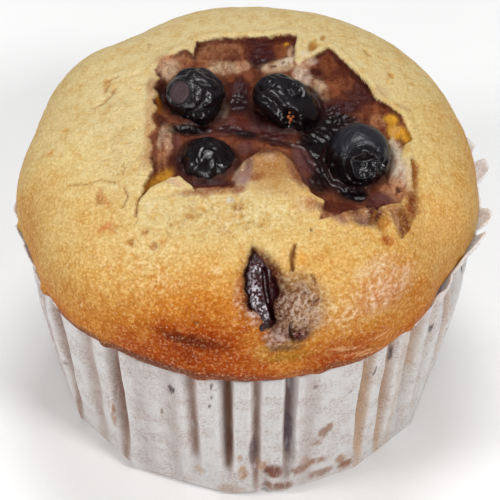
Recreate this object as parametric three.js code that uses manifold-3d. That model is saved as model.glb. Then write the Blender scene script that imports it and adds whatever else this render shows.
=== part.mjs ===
// A berry muffin in its pleated paper case. Millimetres, +Z up.
// The origin is the centre of the case's flat base. A bearing is an angle round the Z axis in degrees,
// counted from the front (-Y) and positive towards the right (+X).

import * as THREE from 'three';
import { mergeVertices } from 'three/addons/utils/BufferGeometryUtils.js';
import Module from 'manifold-3d';

// ---- Driving dimensions ----

const gap = 0.3; // clear space between neighbouring pieces
const rimClearance = 0.5; // between the crown's edge and the paper round it

const crown = {
  radius: 36, // at its widest
  widestHeight: 36.6,
  domeHeight: 17.6, // from the widest line up to the top
  squareness: 2.9, // exponent of the dome's curve: 2 is an ellipse, and more is flatter on top
  lipRadius: 6, // rounding under the widest line
  lipEndAngle: 50, // degrees below level where the rounding turns in to the flat underside
  segments: 70,
  domeRows: 13,
  lipRows: 3,
};

const paper = {
  thickness: 0.5,
  baseRadius: 31.1,
  cornerRadius: 2.4, // between the base and the wall
  flare: 0.15, // how far the wall leans out for each millimetre of height
  tuckedFlare: 0.097, // the same at the front, where the rim is tucked under the crown
  rimHeight: 34,
  tuckedRimHeight: 31.4,
  tuckedTo: 45, // bearing on each side up to which the rim is fully tucked
  freeFrom: 68, // bearing on each side from which the rim stands outside the crown
  segments: 120,
  wallShares: [0.18, 0.42, 0.8, 0.93, 1], // where the wall's rows lie between the corner and the rim
  cornerRows: 2,
};

// On the right the wall leans out a little more and its rim stands higher.
const looseSide = { bearing: 95, spread: 50, flare: 0.035, height: 3.2 };

// Where the crown's outline bulges (+) or draws in (-), with the half width of each stretch.
const crownBulges = [
  { bearing: -148, bulge: -1.1, spread: 22 },
  { bearing: -104, bulge: -0.8, spread: 20 },
  { bearing: -72, bulge: -0.5, spread: 12 },
  { bearing: -46, bulge: 0.7, spread: 16 },
  { bearing: 30, bulge: 0.5, spread: 14 },
  { bearing: 62, bulge: -1.3, spread: 14 },
  { bearing: 82, bulge: 0.4, spread: 12 },
  { bearing: 145, bulge: 0.4, spread: 35 },
];

// The pleats that were pulled out of step when the case was filled. Each is pushed in by its depth at its
// own bearing and comes back out over the spread on its left and on its right.
const frontFolds = [
  { bearing: -76.5, left: 4.5, right: 3, depth: 1.4 },
  { bearing: -68.5, left: 4.5, right: 2.5, depth: 1.6 },
  { bearing: -59, left: 4.6, right: 2.4, depth: 2.2 },
  { bearing: -48, left: 4.5, right: 4, depth: 0.8 },
  { bearing: -37.2, left: 4.4, right: 1.9, depth: 2.4 },
  { bearing: -22, left: 7, right: 4, depth: 0.5 },
  { bearing: -15, left: 2.8, right: 2.6, depth: 1.1 },
  { bearing: -5.2, left: 2.8, right: 2.4, depth: 2.6 },
  { bearing: 2.5, left: 2, right: 2, depth: 1.3 },
  { bearing: 11.7, left: 2.4, right: 2.4, depth: 2.4 },
  { bearing: 17.5, left: 4, right: 4, depth: 0.4 },
  { bearing: 33.2, left: 1.8, right: 3.2, depth: 1.8 },
  { bearing: 42, left: 3, right: 3, depth: 1.8 },
  { bearing: 51, left: 3.8, right: 3.8, depth: 1.5 },
  { bearing: 58, left: 2.8, right: 2.8, depth: 0.9 },
  { bearing: 65.5, left: 3.4, right: 3, depth: 1.7 },
];

// Round the rest of the case the pleats are nearly even, in bearing and in depth.
const evenFolds = {
  from: 71.5,
  to: 277,
  count: 26,
  depth: 1.7,
  spread: 3.9,
  drift: 0.9,
  depthDrift: 0.45,
};
const deepestFold = 2.6;
const foldFadeHeights = [1.5, 15]; // the folds die away from the second height down to the first

// The torn opening in the crown, anticlockwise from its left edge seen from above.
const tear = [
  [-14.3, 3.7], [-14.4, -6.3], [-14.5, -10.1], [-15.3, -13.5], [-15.9, -16.3], [-13.6, -13.4],
  [-11.7, -12.3], [-10.2, -11.9], [-7.8, -14.4], [-5.5, -14.8], [-1.9, -14.4], [-0.5, -9.2],
  [2.8, -6.3], [5.1, -7], [7.3, -9.8], [8.4, -13.1], [9.7, -15.1], [11.7, -16.4],
  [10.9, -20], [13, -19.2], [16.9, -17.2], [19.8, -16.5], [22.1, -14.3], [23.6, -10.6],
  [22.9, -5.9], [24.2, -3.8], [25.3, -2.3], [24.5, 1.5], [23.4, 3.7], [21.9, 4.7],
  [19.9, 5.5], [18.3, 8.9], [15.1, 13.2], [12.8, 17.4], [9.9, 14.3], [8.1, 12.6],
  [7.4, 13.8], [7.6, 16.7], [7.8, 20.5], [3.5, 19.5], [-3.2, 19.3], [-8.2, 18.3],
  [-8.5, 15], [-9.9, 17], [-11.3, 15.5], [-13, 14.8], [-14.1, 9.8],
];
const tearFloor = { centre: [4, 1], reach: [21, 20], edgeDepth: 0.7, middleDepth: 1.9 };
const tearCutHeights = [45, 65]; // the outline is cut straight down between these heights

// Whole berries lying in the tear: centre, half sizes along X, Y and Z, the way the scar end points,
// how deep its dimple is and how wrinkled the skin is.
const berries = {
  berry_left: {
    centre: [-8.1, 5.7, 53],
    halfSizes: [4.7, 4.8, 4.3],
    scar: [-0.55, -0.15, 0.82],
    dimple: 0.05,
    wrinkle: 0.02,
  },
  berry_middle: {
    centre: [6.1, 4.2, 53],
    halfSizes: [5.4, 4.8, 4.5],
    scar: [-0.45, 0.1, 0.88],
    dimple: 0.03,
    wrinkle: 0.04,
  },
  berry_front: {
    centre: [-6, -7.5, 52.2],
    halfSizes: [4.4, 4.4, 3.9],
    scar: [0.3, 0.5, 0.8],
    dimple: 0.02,
    wrinkle: 0.055,
  },
  berry_right: {
    centre: [17, -6.5, 52],
    halfSizes: [5.1, 5.4, 5.3],
    scar: [0.22, -0.55, 0.8],
    dimple: 0.06,
    wrinkle: 0.015,
  },
};
const berryRows = 9;
const berryColumns = 15;
const dimpleAngle = 0.45; // half the angle that the dimple covers, in radians, inside its raised ring

// The berry that burst through the front of the crown, lying along the slope, and the crack beside it.
const burst = { bearing: 4, radius: 30.5, halfSizes: [2.5, 6.2, 2.2], sunk: 1.5 };
const crack = { bearing: 7, radius: 32.2, length: 7, width: 1, depth: 2.6 };

// ---- Small helpers ----

const radians = THREE.MathUtils.degToRad;

// 0 up to the first value, 1 from the second, and smooth between them.
function ramp(value, from, to) {
  return THREE.MathUtils.smoothstep(value, from, to);
}

// A bearing's difference from another, from -180 to 180 degrees.
function turn(bearing, from) {
  return THREE.MathUtils.euclideanModulo(bearing - from + 180, 360) - 180;
}

// A smooth bump: 1 in the middle, 0 at the ends of its left and right spread.
function bump(offset, left, right = left) {
  const share = offset < 0 ? -offset / left : offset / right;
  return share < 1 ? 0.5 + 0.5 * Math.cos(Math.PI * share) : 0;
}

function pointAt(bearing, radius, height) {
  const angle = radians(bearing);
  return new THREE.Vector3(radius * Math.sin(angle), -radius * Math.cos(angle), height);
}

// ---- Solids ----

const wasm = await Module();
wasm.setup();
const sameVertex = 1e-4; // vertices closer than this are one

// Drops the triangles that a lathe or a sphere folds flat at its poles.
function dropFlatTriangles(indices) {
  const kept = [];
  for (let i = 0; i < indices.length; i += 3) {
    const [a, b, c] = [indices[i], indices[i + 1], indices[i + 2]];
    if (a !== b && b !== c && c !== a) {
      kept.push(a, b, c);
    }
  }
  return kept;
}

function toSolid(geometry) {
  const bare = geometry.clone();
  bare.deleteAttribute('normal');
  bare.deleteAttribute('uv');
  const merged = mergeVertices(bare, sameVertex);
  const mesh = new wasm.Mesh({
    numProp: 3,
    vertProperties: new Float32Array(merged.attributes.position.array),
    triVerts: new Uint32Array(dropFlatTriangles(merged.index.array)),
  });
  return new wasm.Manifold(mesh);
}

function toGeometry(solid) {
  const mesh = solid.getMesh();
  const geometry = new THREE.BufferGeometry();
  geometry.setAttribute('position', new THREE.BufferAttribute(mesh.vertProperties, 3));
  geometry.setIndex(new THREE.BufferAttribute(mesh.triVerts, 1));
  geometry.computeVertexNormals();
  return geometry;
}

// Turns rows round +Z. A row gives its [radius, height] at a bearing. The first and last lie on the axis.
function turned(rows, segments) {
  const points = rows.map((row) => new THREE.Vector2(...row(0)));
  const geometry = new THREE.LatheGeometry(points, segments);
  geometry.rotateX(Math.PI / 2);
  const position = geometry.attributes.position;
  for (let i = 0; i < position.count; i += 1) {
    const column = Math.floor(i / rows.length) % segments;
    const bearing = (360 * column) / segments;
    const point = pointAt(bearing, ...rows[i % rows.length](bearing));
    position.setXYZ(i, point.x, point.y, point.z);
  }
  return geometry;
}

// ---- The paper case's wall ----

// 1 where the rim is tucked under the crown, 0 where it stands outside.
function tucked(bearing) {
  return 1 - ramp(Math.abs(turn(bearing, 0)), paper.tuckedTo, paper.freeFrom);
}

function looseness(bearing) {
  return bump(turn(bearing, looseSide.bearing), looseSide.spread);
}

function allFolds() {
  const { from, to, count, depth, spread, drift, depthDrift } = evenFolds;
  const all = [...frontFolds];
  for (let i = 0; i < count; i += 1) {
    all.push({
      bearing: THREE.MathUtils.lerp(from, to, i / (count - 1)) + drift * Math.sin(1.7 * i),
      left: spread,
      right: spread,
      depth: depth + depthDrift * Math.sin(2.3 * i),
    });
  }
  return all;
}

const folds = allFolds();

function foldFade(height) {
  return ramp(height, foldFadeHeights[0], foldFadeHeights[1]);
}

function foldInset(bearing, height) {
  let inset = 0;
  for (const fold of folds) {
    inset = Math.max(inset, fold.depth * bump(turn(bearing, fold.bearing), fold.left, fold.right));
  }
  return inset * foldFade(height);
}

// The wall's outer radius before it is folded.
function openWallRadius(bearing, height) {
  const flare = THREE.MathUtils.lerp(paper.flare, paper.tuckedFlare, tucked(bearing));
  const climb = Math.max(height - paper.cornerRadius, 0);
  return paper.baseRadius + (flare + looseSide.flare * looseness(bearing)) * climb;
}

// The wall's outer radius. Folds stop where they meet the crown.
function wallRadius(bearing, height) {
  const folded = openWallRadius(bearing, height) - foldInset(bearing, height);
  return Math.max(folded, crownEdgeRadius(bearing, height) + rimClearance + paper.thickness);
}

function rimHeight(bearing) {
  const height = THREE.MathUtils.lerp(paper.rimHeight, paper.tuckedRimHeight, tucked(bearing));
  return height + looseSide.height * looseness(bearing);
}

// ---- The crown's surface ----

function crownSwell(bearing) {
  let bulge = 0;
  for (const stretch of crownBulges) {
    bulge += stretch.bulge * bump(turn(bearing, stretch.bearing), stretch.spread);
  }
  return 1 + bulge / crown.radius;
}

function domeHeightAt(radius) {
  const share = Math.min(radius / crown.radius, 1);
  return crown.widestHeight + crown.domeHeight * (1 - share ** crown.squareness) ** (1 / crown.squareness);
}

const lipBottom = crown.widestHeight - crown.lipRadius * Math.sin(radians(crown.lipEndAngle));

// How far out the crown reaches at a height, and 0 well below its lip.
function crownEdgeRadius(bearing, height) {
  if (height < lipBottom - gap) {
    return 0;
  }
  const below = crown.widestHeight - THREE.MathUtils.clamp(height, lipBottom, crown.widestHeight);
  const reach = crown.radius - crown.lipRadius + Math.sqrt(crown.lipRadius ** 2 - below ** 2);
  return reach * crownSwell(bearing);
}

function tearDepth(x, y) {
  const across = (x - tearFloor.centre[0]) / tearFloor.reach[0];
  const along = (y - tearFloor.centre[1]) / tearFloor.reach[1];
  const middle = Math.max(0, 1 - across ** 2 - along ** 2);
  return THREE.MathUtils.lerp(tearFloor.edgeDepth, tearFloor.middleDepth, middle);
}

// ---- Pieces ----

const bodyBottom = paper.thickness + gap;

function bodyRadius(bearing, height) {
  const fold = deepestFold * foldFade(height);
  return openWallRadius(bearing, height) - paper.thickness - gap - fold;
}

// The body inside the case, from the middle of its bottom up to the crown's underside.
function bodyRows() {
  const edge = 1.5; // the bottom's edge is cut back by this much
  const undercut = 0.2; // the underside's fall from the lip to the body
  const heights = [bodyBottom + edge, 0.5 * lipBottom, lipBottom - undercut];
  return [
    () => [0, bodyBottom],
    (bearing) => [bodyRadius(bearing, bodyBottom) - edge, bodyBottom],
    ...heights.map((height) => (bearing) => [bodyRadius(bearing, height), height]),
  ];
}

// Round the lip and over the dome to the top. With lowered set, the dome is down at the tear's floor.
function crownRows(lowered) {
  const { radius, lipRadius, lipEndAngle, lipRows, domeRows, squareness } = crown;
  const outline = [];
  for (let i = 0; i < lipRows; i += 1) {
    const angle = radians(lipEndAngle * (1 - i / lipRows));
    const reach = radius - lipRadius * (1 - Math.cos(angle));
    outline.push([reach, crown.widestHeight - lipRadius * Math.sin(angle)]);
  }
  for (let i = 0; i < domeRows; i += 1) {
    const reach = radius * Math.cos((Math.PI / 2) * (i / domeRows)) ** (2 / squareness);
    outline.push([reach, domeHeightAt(reach)]);
  }
  outline.push([0, domeHeightAt(0)]);
  return outline.map(([reach, height]) => (bearing) => {
    const swollen = reach * crownSwell(bearing);
    const place = pointAt(bearing, swollen, height);
    return [swollen, lowered ? height - tearDepth(place.x, place.y) : height];
  });
}

function cakeSolid(lowered = false) {
  return toSolid(turned([...bodyRows(), ...crownRows(lowered)], crown.segments));
}

// The space above the tear's floor, inside its outline.
function tearSolid() {
  const [bottom, top] = tearCutHeights;
  const outline = new THREE.Shape(tear.map(([x, y]) => new THREE.Vector2(x, y)));
  const prism = new THREE.ExtrudeGeometry(outline, { depth: top - bottom, bevelEnabled: false });
  prism.translate(0, 0, bottom);
  return toSolid(prism).subtract(cakeSolid(true));
}

// A wrinkled ball with a ringed dimple at its scar end, about the origin. Grow adds to its half sizes.
function berryGeometry({ halfSizes, scar, dimple, wrinkle }, grow = 0) {
  const geometry = new THREE.SphereGeometry(1, berryColumns, berryRows);
  const position = geometry.attributes.position;
  const point = new THREE.Vector3();
  const toScar = new THREE.Quaternion();
  toScar.setFromUnitVectors(new THREE.Vector3(0, 1, 0), new THREE.Vector3(...scar).normalize());
  for (let i = 0; i < position.count; i += 1) {
    point.fromBufferAttribute(position, i);
    const fromScar = Math.acos(THREE.MathUtils.clamp(point.y, -1, 1));
    const creases = Math.sin(5 * point.x + 3 * point.y) * Math.sin(6 * point.z - 4 * point.y + 1);
    const ring = bump(fromScar - dimpleAngle, 0.3) - 1.6 * bump(fromScar, dimpleAngle);
    point.multiplyScalar(1 - wrinkle * (1 - creases) + dimple * ring);
    point.applyQuaternion(toScar);
    position.setXYZ(
      i,
      point.x * (halfSizes[0] + grow),
      point.y * (halfSizes[1] + grow),
      point.z * (halfSizes[2] + grow),
    );
  }
  return geometry;
}

// A frame on the crown's slope: X across it, Y up along it and Z out of it.
function slopeFrame(bearing, radius, sunk) {
  const along = pointAt(bearing, radius - 0.5, domeHeightAt(radius - 0.5));
  along.sub(pointAt(bearing, radius + 0.5, domeHeightAt(radius + 0.5))).normalize();
  const across = pointAt(bearing + 90, 1, 0);
  const out = new THREE.Vector3().crossVectors(across, along);
  const place = pointAt(bearing, radius, domeHeightAt(radius)).addScaledVector(out, -sunk);
  return new THREE.Matrix4().makeBasis(across, along, out).setPosition(place);
}

const burstFrame = slopeFrame(burst.bearing, burst.radius, burst.sunk);

function burstGeometry(grow = 0) {
  const shape = { halfSizes: burst.halfSizes, scar: [0, 1, 0], dimple: 0, wrinkle: 0.05 };
  return berryGeometry(shape, grow);
}

// A lens-shaped slit cut down into the slope.
function crackSolid() {
  const { length, width, depth } = crack;
  const outline = new THREE.Shape();
  outline.moveTo(0, -length / 2);
  outline.quadraticCurveTo(width, 0, 0, length / 2);
  outline.quadraticCurveTo(-width, 0, 0, -length / 2);
  const slit = new THREE.ExtrudeGeometry(outline, {
    depth: 2 * depth,
    bevelEnabled: false,
    curveSegments: 5,
  });
  slit.applyMatrix4(slopeFrame(crack.bearing, crack.radius, crack.depth));
  return toSolid(slit);
}

function cakeGeometry() {
  let cake = cakeSolid().subtract(tearSolid());
  for (const berry of Object.values(berries)) {
    const socket = berryGeometry(berry, gap).translate(...berry.centre);
    cake = cake.subtract(toSolid(socket));
  }
  const burstSocket = burstGeometry(gap).applyMatrix4(burstFrame);
  cake = cake.subtract(toSolid(burstSocket)).subtract(crackSolid());
  return toGeometry(cake);
}

// One face of the case, from the middle of the base to the rim, set in from the outer face.
function caseRows(inset) {
  const { baseRadius, cornerRadius, cornerRows, wallShares } = paper;
  const rows = [() => [0, inset]];
  for (let i = 0; i <= cornerRows; i += 1) {
    const angle = radians((90 * i) / cornerRows);
    const rounding = cornerRadius - inset;
    const reach = baseRadius - cornerRadius + rounding * Math.sin(angle);
    rows.push(() => [reach, cornerRadius - rounding * Math.cos(angle)]);
  }
  for (const share of wallShares) {
    rows.push((bearing) => {
      const height = THREE.MathUtils.lerp(cornerRadius, rimHeight(bearing), share);
      return [wallRadius(bearing, height) - inset, height];
    });
  }
  return rows;
}

function caseGeometry() {
  const rows = [...caseRows(0), ...caseRows(paper.thickness).reverse()];
  return toGeometry(toSolid(turned(rows, paper.segments)));
}

// ---- Looks and assembly ----

const crust = new THREE.MeshStandardMaterial({ color: 0xd9b27a, roughness: 0.75, metalness: 0 });
const whitePaper = new THREE.MeshStandardMaterial({ color: 0xd2c6c0, roughness: 0.85, metalness: 0 });
const berrySkin = new THREE.MeshStandardMaterial({ color: 0x1b1419, roughness: 0.35, metalness: 0 });
const berryFlesh = new THREE.MeshStandardMaterial({ color: 0x3a1c22, roughness: 0.3, metalness: 0 });

function piece(name, geometry, material) {
  const mesh = new THREE.Mesh(geometry, material);
  mesh.name = name;
  return mesh;
}

const muffin = new THREE.Group();
muffin.add(piece('cake', cakeGeometry(), crust));
muffin.add(piece('paper_case', caseGeometry(), whitePaper));
for (const [name, berry] of Object.entries(berries)) {
  const mesh = piece(name, toGeometry(toSolid(berryGeometry(berry))), berrySkin);
  mesh.position.set(...berry.centre);
  muffin.add(mesh);
}
const burstBerry = piece('berry_burst', toGeometry(toSolid(burstGeometry())), berryFlesh);
burstBerry.applyMatrix4(burstFrame);
muffin.add(burstBerry);

export default muffin;
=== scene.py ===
"""The looks of a berry muffin in its pleated paper case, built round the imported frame.

Lengths are in millimetres until a mesh is made. A bearing is an angle round the Z axis in degrees,
counted from the front (-Y) and positive towards the right (+X). An arc is the distance down over the
crown from its top. Colours in the tables are as they look on a screen, from 0 to 255.
"""
import math
from types import SimpleNamespace

import bmesh
import bpy
import numpy as np
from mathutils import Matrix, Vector


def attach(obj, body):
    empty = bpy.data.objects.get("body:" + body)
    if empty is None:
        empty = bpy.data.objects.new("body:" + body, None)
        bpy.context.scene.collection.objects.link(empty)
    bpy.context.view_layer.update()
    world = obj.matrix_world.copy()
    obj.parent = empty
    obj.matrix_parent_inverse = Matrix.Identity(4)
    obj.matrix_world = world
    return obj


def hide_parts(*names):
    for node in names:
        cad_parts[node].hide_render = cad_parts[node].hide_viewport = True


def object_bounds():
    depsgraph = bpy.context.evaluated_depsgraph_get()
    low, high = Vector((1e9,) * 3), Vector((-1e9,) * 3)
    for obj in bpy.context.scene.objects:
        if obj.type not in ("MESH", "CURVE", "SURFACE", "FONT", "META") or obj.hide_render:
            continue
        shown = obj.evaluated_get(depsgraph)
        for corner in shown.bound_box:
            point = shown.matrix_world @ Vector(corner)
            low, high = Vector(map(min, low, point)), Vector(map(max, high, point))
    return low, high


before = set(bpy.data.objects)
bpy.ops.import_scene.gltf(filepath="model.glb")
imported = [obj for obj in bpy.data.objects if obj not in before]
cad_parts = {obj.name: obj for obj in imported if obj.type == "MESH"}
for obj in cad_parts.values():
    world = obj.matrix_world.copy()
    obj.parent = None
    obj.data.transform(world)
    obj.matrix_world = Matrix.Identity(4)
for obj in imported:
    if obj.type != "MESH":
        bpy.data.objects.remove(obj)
cad_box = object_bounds()

MM = 0.001

# ---- Driving dimensions ----

# The crown is a dome over its widest line, with a rounded lip below it.
CROWN_RADIUS = 36.0
WIDEST_HEIGHT = 36.6
DOME_HEIGHT = 17.6
SQUARENESS = 2.9
LIP_RADIUS = 6.0
LIP_END = 50.0

# The crown's net of vertices, which is fine over the torn part and the front.
NET_FINE = 0.26
NET_COARSE = 0.62
NET_FINE_ACROSS = (-21.0, 28.0)
NET_FINE_ALONG = (-42.0, 22.0)
LIP_ROWS = 14

# Rings of the body inside the case: height, and how far out from the case's wall.
BODY_RINGS = [(31.6, -3.4), (15.0, -3.4), (12.0, -3.0), (3.0, -1.0), (0.8, -2.5)]
BODY_BOTTOM = 0.8

# Where the crown's outline bulges or draws in: bearing, bulge, half width of the stretch.
CROWN_BULGES = [
    (-148, -1.1, 22), (-104, -0.8, 20), (-72, -0.5, 12), (-46, 0.7, 16), (30, 0.5, 14), (62, -1.3, 14),
    (82, 0.4, 12), (145, 0.4, 35),
]

PAPER_THICKNESS = 0.22
PAPER_CLEARANCE = 0.35
BASE_RADIUS = 31.1
CORNER_RADIUS = 2.4
FLARE = 0.15
TUCKED_FLARE = 0.097
RIM_HEIGHT = 34.0
TUCKED_RIM_HEIGHT = 31.4
TUCKED_TO = 45.0
FREE_FROM = 68.0
LOOSE_BEARING = 95.0
LOOSE_SPREAD = 50.0
LOOSE_FLARE = 0.035
LOOSE_HEIGHT = 2.4
FLUTE_HEIGHT = 2.4
LEFT_FLUTES = -84.0
CASE_COLUMNS = 960
WALL_ROWS = 38
CORNER_ROWS = 5
BASE_ROWS = 7

# Places where the rim stands higher: bearing, half width, height.
RIM_RISES = [(LEFT_FLUTES, 26, 1.6), (70, 14, 1.4)]

# Bearings of the corners that the base was creased into.
BASE_CORNERS = (-84, -60, -35, -5, 12, 34, 58, 84, 110, 138, 166, 196, 226, 252)

# The pleats at the front: bearing, spread to the left, spread to the right, depth.
FRONT_FOLDS = [
    (-76.5, 4.5, 3, 1.4), (-68.5, 4.5, 2.5, 1.6), (-59, 4.6, 2.4, 2.2), (-48, 4.5, 4, 0.8),
    (-37.2, 4.4, 1.9, 2.4), (-22, 7, 4, 0.5), (-15, 2.8, 2.6, 1.1), (-5.2, 2.8, 2.4, 2.6),
    (2.5, 2, 2, 1.3), (11.7, 2.4, 2.4, 2.4), (17.5, 4, 4, 0.4), (33.2, 1.8, 3.2, 1.8), (42, 3, 3, 1.8),
    (51, 3.8, 3.8, 1.5), (58, 2.8, 2.8, 0.9), (65.5, 3.4, 3, 1.7),
]

# The even pleats round the rest, which drift a little in place and depth.
EVEN_FOLDS_FROM = 71.5
EVEN_FOLDS_TO = 277.0
EVEN_FOLDS = 26
EVEN_DEPTH = 1.7
EVEN_SPREAD = 3.9
EVEN_DRIFT = 0.9
EVEN_DEPTH_DRIFT = 0.45

# Whole berries: centre, half sizes.
BERRIES = {
    "berry_left": ((-8.1, 5.7, 53.0), (4.7, 4.8, 4.3)),
    "berry_middle": ((6.1, 4.2, 53.0), (5.4, 4.8, 4.5)),
    "berry_front": ((-6.0, -7.5, 52.2), (4.4, 4.4, 3.9)),
    "berry_right": ((17.0, -6.5, 52.0), (5.1, 5.4, 5.3)),
}

# How often the even balls that berries and seeds are made from are split into finer triangles.
BERRY_LEVEL = 7
SEED_LEVEL = 3

# Seeds in the middle berry's slit: direction from its middle, half size.
SEEDS = [
    (0.08, -0.88, 0.45, 0.2), (0.05, -0.93, 0.3, 0.26), (0.12, -0.95, 0.2, 0.3),
    (0.08, -0.98, 0.06, 0.24), (0.2, -0.93, 0.3, 0.2),
]

# The berry that burst through the front of the crown.
BURST_BEARING = 4.0
BURST_RADIUS = 30.5
BURST_HALF_SIZES = (2.5, 6.2, 1.9)
BURST_SUNK = 1.5
# The hole and the lumps lie within this width to either side of the front, and between these arcs.
BURST_REACH = 20
BURST_ARCS = (18, 48)

# At the front, places are a bearing and an arc. This turns the bearing into a width.
MILLIMETRES_A_DEGREE = 0.58

# The outline of the burst berry's hole: bearing, arc.
BURST_HOLE = [
    (1.8, 25.4), (3.8, 26.4), (5.6, 28.2), (8, 30.4), (8.8, 32.6), (7.2, 33.8), (6.9, 35.2), (7.3, 36.8),
    (6.2, 37.9), (5, 37.6), (4.2, 36.2), (2.6, 35.4), (-0.2, 34.4), (-0.6, 31.5), (-0.7, 29.5),
    (0.5, 27.6),
]

# Slits round the burst berry: path of (bearing, arc), half width, depth.
BURST_SLITS = [
    ([(4.6, 31.0), (4.9, 34.0), (6.3, 36.2), (5.8, 37.8)], 0.45, 1.5),
    ([(10.8, 37.4), (10.5, 38.6), (10.6, 39.4), (11.4, 40.6)], 0.28, 1.3),
]

# Torn lumps beside the burst berry: bearing, arc, half sizes, height (hollows are negative).
BURST_LUMPS = [
    (8.0, 39.2, 1.5, 1.4, 0.45), (13.0, 39.4, 1.3, 1.1, 0.4), (12.5, 35.0, 3.5, 3.2, 0.25),
    (18.0, 34.9, 0.7, 0.4, -0.5), (9.5, 42.2, 3.2, 0.7, -0.25),
]

# The torn opening in the crown, anticlockwise from its left edge seen from above.
TEAR = [
    (-14.7, 4.4), (-13.9, 2.6), (-14.6, 0.8), (-14.1, -1.6), (-15, -3.6), (-14.4, -5.8), (-14.9, -7.6),
    (-14.4, -10.1), (-15.4, -13), (-16.4, -15.8), (-14.7, -13.9), (-11.7, -12.3), (-10.2, -11.9),
    (-7.8, -14.4), (-5.5, -14.8), (-1.9, -14.4), (-0.5, -9.2), (2.8, -6.3), (5.1, -7), (7.3, -9.8),
    (8.4, -13.1), (9.7, -15.1), (11.7, -16.4), (10.9, -20), (13, -19.2), (16.9, -17.2), (19.8, -16.5),
    (23.4, -14.6), (24.4, -10.8), (23.6, -5.9), (24.2, -3.8), (25.3, -2.3), (24.5, 1.5), (23.4, 3.7),
    (21.9, 4.7), (20.1, 5.8), (18.8, 9.2), (15.6, 13.6), (12.9, 17.8), (10, 14.4), (8.1, 12.6),
    (7.4, 13.8), (7.6, 16.7), (7.9, 20.9), (3.5, 20), (-3.2, 19.7), (-8.2, 18.7), (-8.5, 15), (-9.9, 17),
    (-11.3, 15.5), (-13.2, 14.8), (-14.6, 11.8), (-13.8, 9.8), (-14.5, 7.6), (-13.8, 6.2),
]
# The tear is kept to this arc. The crust further down is whole.
TEAR_REACH = 32

# How the tear's edge drops: x, y, how far down it goes at once, how wide the drop is.
TEAR_EDGES = [
    (-14.4, 8, 0.45, 1.3), (-14.4, 0, 0.5, 1.2), (-14.4, -8, 0.6, 1.2), (-15.5, -15, 1.6, 0.5),
    (-12, -12.3, 1.6, 0.5), (-8, -14.6, 1, 0.5), (-2.5, -14.4, 1, 0.5), (-0.8, -10, 1, 1.2),
    (3.5, -6.6, 1.1, 1.6), (8, -12, 1.3, 1.3), (11, -16.5, 1, 0.6), (12, -19, 0.6, 0.6),
    (19, -16.8, 0.9, 0.6), (23.2, -12, 0.6, 0.8), (23, -6, 0.5, 0.8), (25, -1, 0.7, 0.4),
    (23, 4, 0.8, 0.4), (19.5, 6.5, 1, 0.3), (15.5, 13, 1, 0.3), (12.7, 16.8, 0.8, 0.3),
    (9, 13.6, 0.5, 0.9), (7.6, 17, 0.9, 0.35), (5, 19.7, 1.2, 0.3), (-2, 19.3, 1.1, 0.3),
    (-7, 18.4, 0.9, 0.4), (-9.5, 16, 0.8, 0.4), (-13, 14, 0.4, 0.8),
]

# How deep the torn floor lies under the dome away from the edge: x, y, depth.
TEAR_FLOOR = [
    (-10, 14, 1.2), (-3, 16, 1.2), (3, 15, 1.4), (6, 18, 1.1), (-5, 12, 1.5), (2, 11, 1.6), (7, 11, 1.1),
    (12, 13, 1.2), (13, 9, 1.3), (16, 9, 1.2), (18, 4, 1.7), (12, 2, 2.7), (14, -1, 3), (0, 6, 2.9),
    (-1, 0, 2.7), (-3, -3, 2.6), (3, -3.5, 2.3), (7, -6.5, 2.3), (10, -9, 2.7), (12, -13, 2.6),
    (16, -14, 3.2), (22, 0, 1.6), (23, -8, 1), (-12.7, 5, 2), (-12.5, -1, 1.7), (-12.2, -5, 1.2),
    (-11, -9, 2.4), (-14, -13, 2.6), (-9, -13, 2), (-1.5, -12, 1.8), (21, -13.5, 1.7), (13.5, -17.5, 1.2),
    (18.5, -16, 1.6),
]

# Small openings in the crust: path of (x, y), half width, depth.
CRACKS = [
    ([(7.2, -24.4), (6.7, -25.6), (6.5, -26.6), (6.9, -28.2)], 0.32, 0.7),
    ([(9.6, -28.6), (10.1, -28.9), (10.5, -29.9), (10.5, -30.4)], 0.2, 0.5),
    ([(-4.2, -21.3), (-3, -22), (-1.9, -23.6)], 0.13, 0.25),
    ([(-16.3, -15.4), (-16.6, -16.9), (-16.8, -18.6)], 0.3, 0.6),
    ([(-18.9, -8.4), (-18.6, -9.6), (-18.9, -10.8)], 0.2, 0.3),
    ([(-16.6, -11), (-15.8, -11.4), (-15, -11.2)], 0.16, 0.25),
    ([(25.4, -6.3), (25.7, -8.5), (25.6, -11.2)], 0.45, 0.7),
    ([(23, -16.4), (23.9, -19), (23.8, -21)], 0.5, 0.7),
    ([(19.8, -16.3), (19, -18.2), (18.6, -19.4)], 0.35, 0.8), ([(-8, -14.2), (-7.6, -14.9)], 0.3, 0.4),
    ([(-22.1, 8.3), (-21.8, 9.6), (-21.9, 10.9), (-20.4, 11.5)], 0.5, 0.4),
    ([(-20.7, 8.6), (-21.4, 6.8), (-22.6, 5.4), (-23.8, 4.8)], 0.45, 0.45),
    ([(-27.2, -10.4), (-24.4, -11.2), (-22.4, -10.9), (-20, -12)], 0.3, 0.35),
    ([(-22.3, -12.6), (-22.6, -14.6), (-22.2, -15.4)], 0.4, 0.4),
    ([(-18.6, -13), (-18, -15), (-18.8, -16.8)], 0.25, 0.4),
]

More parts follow.
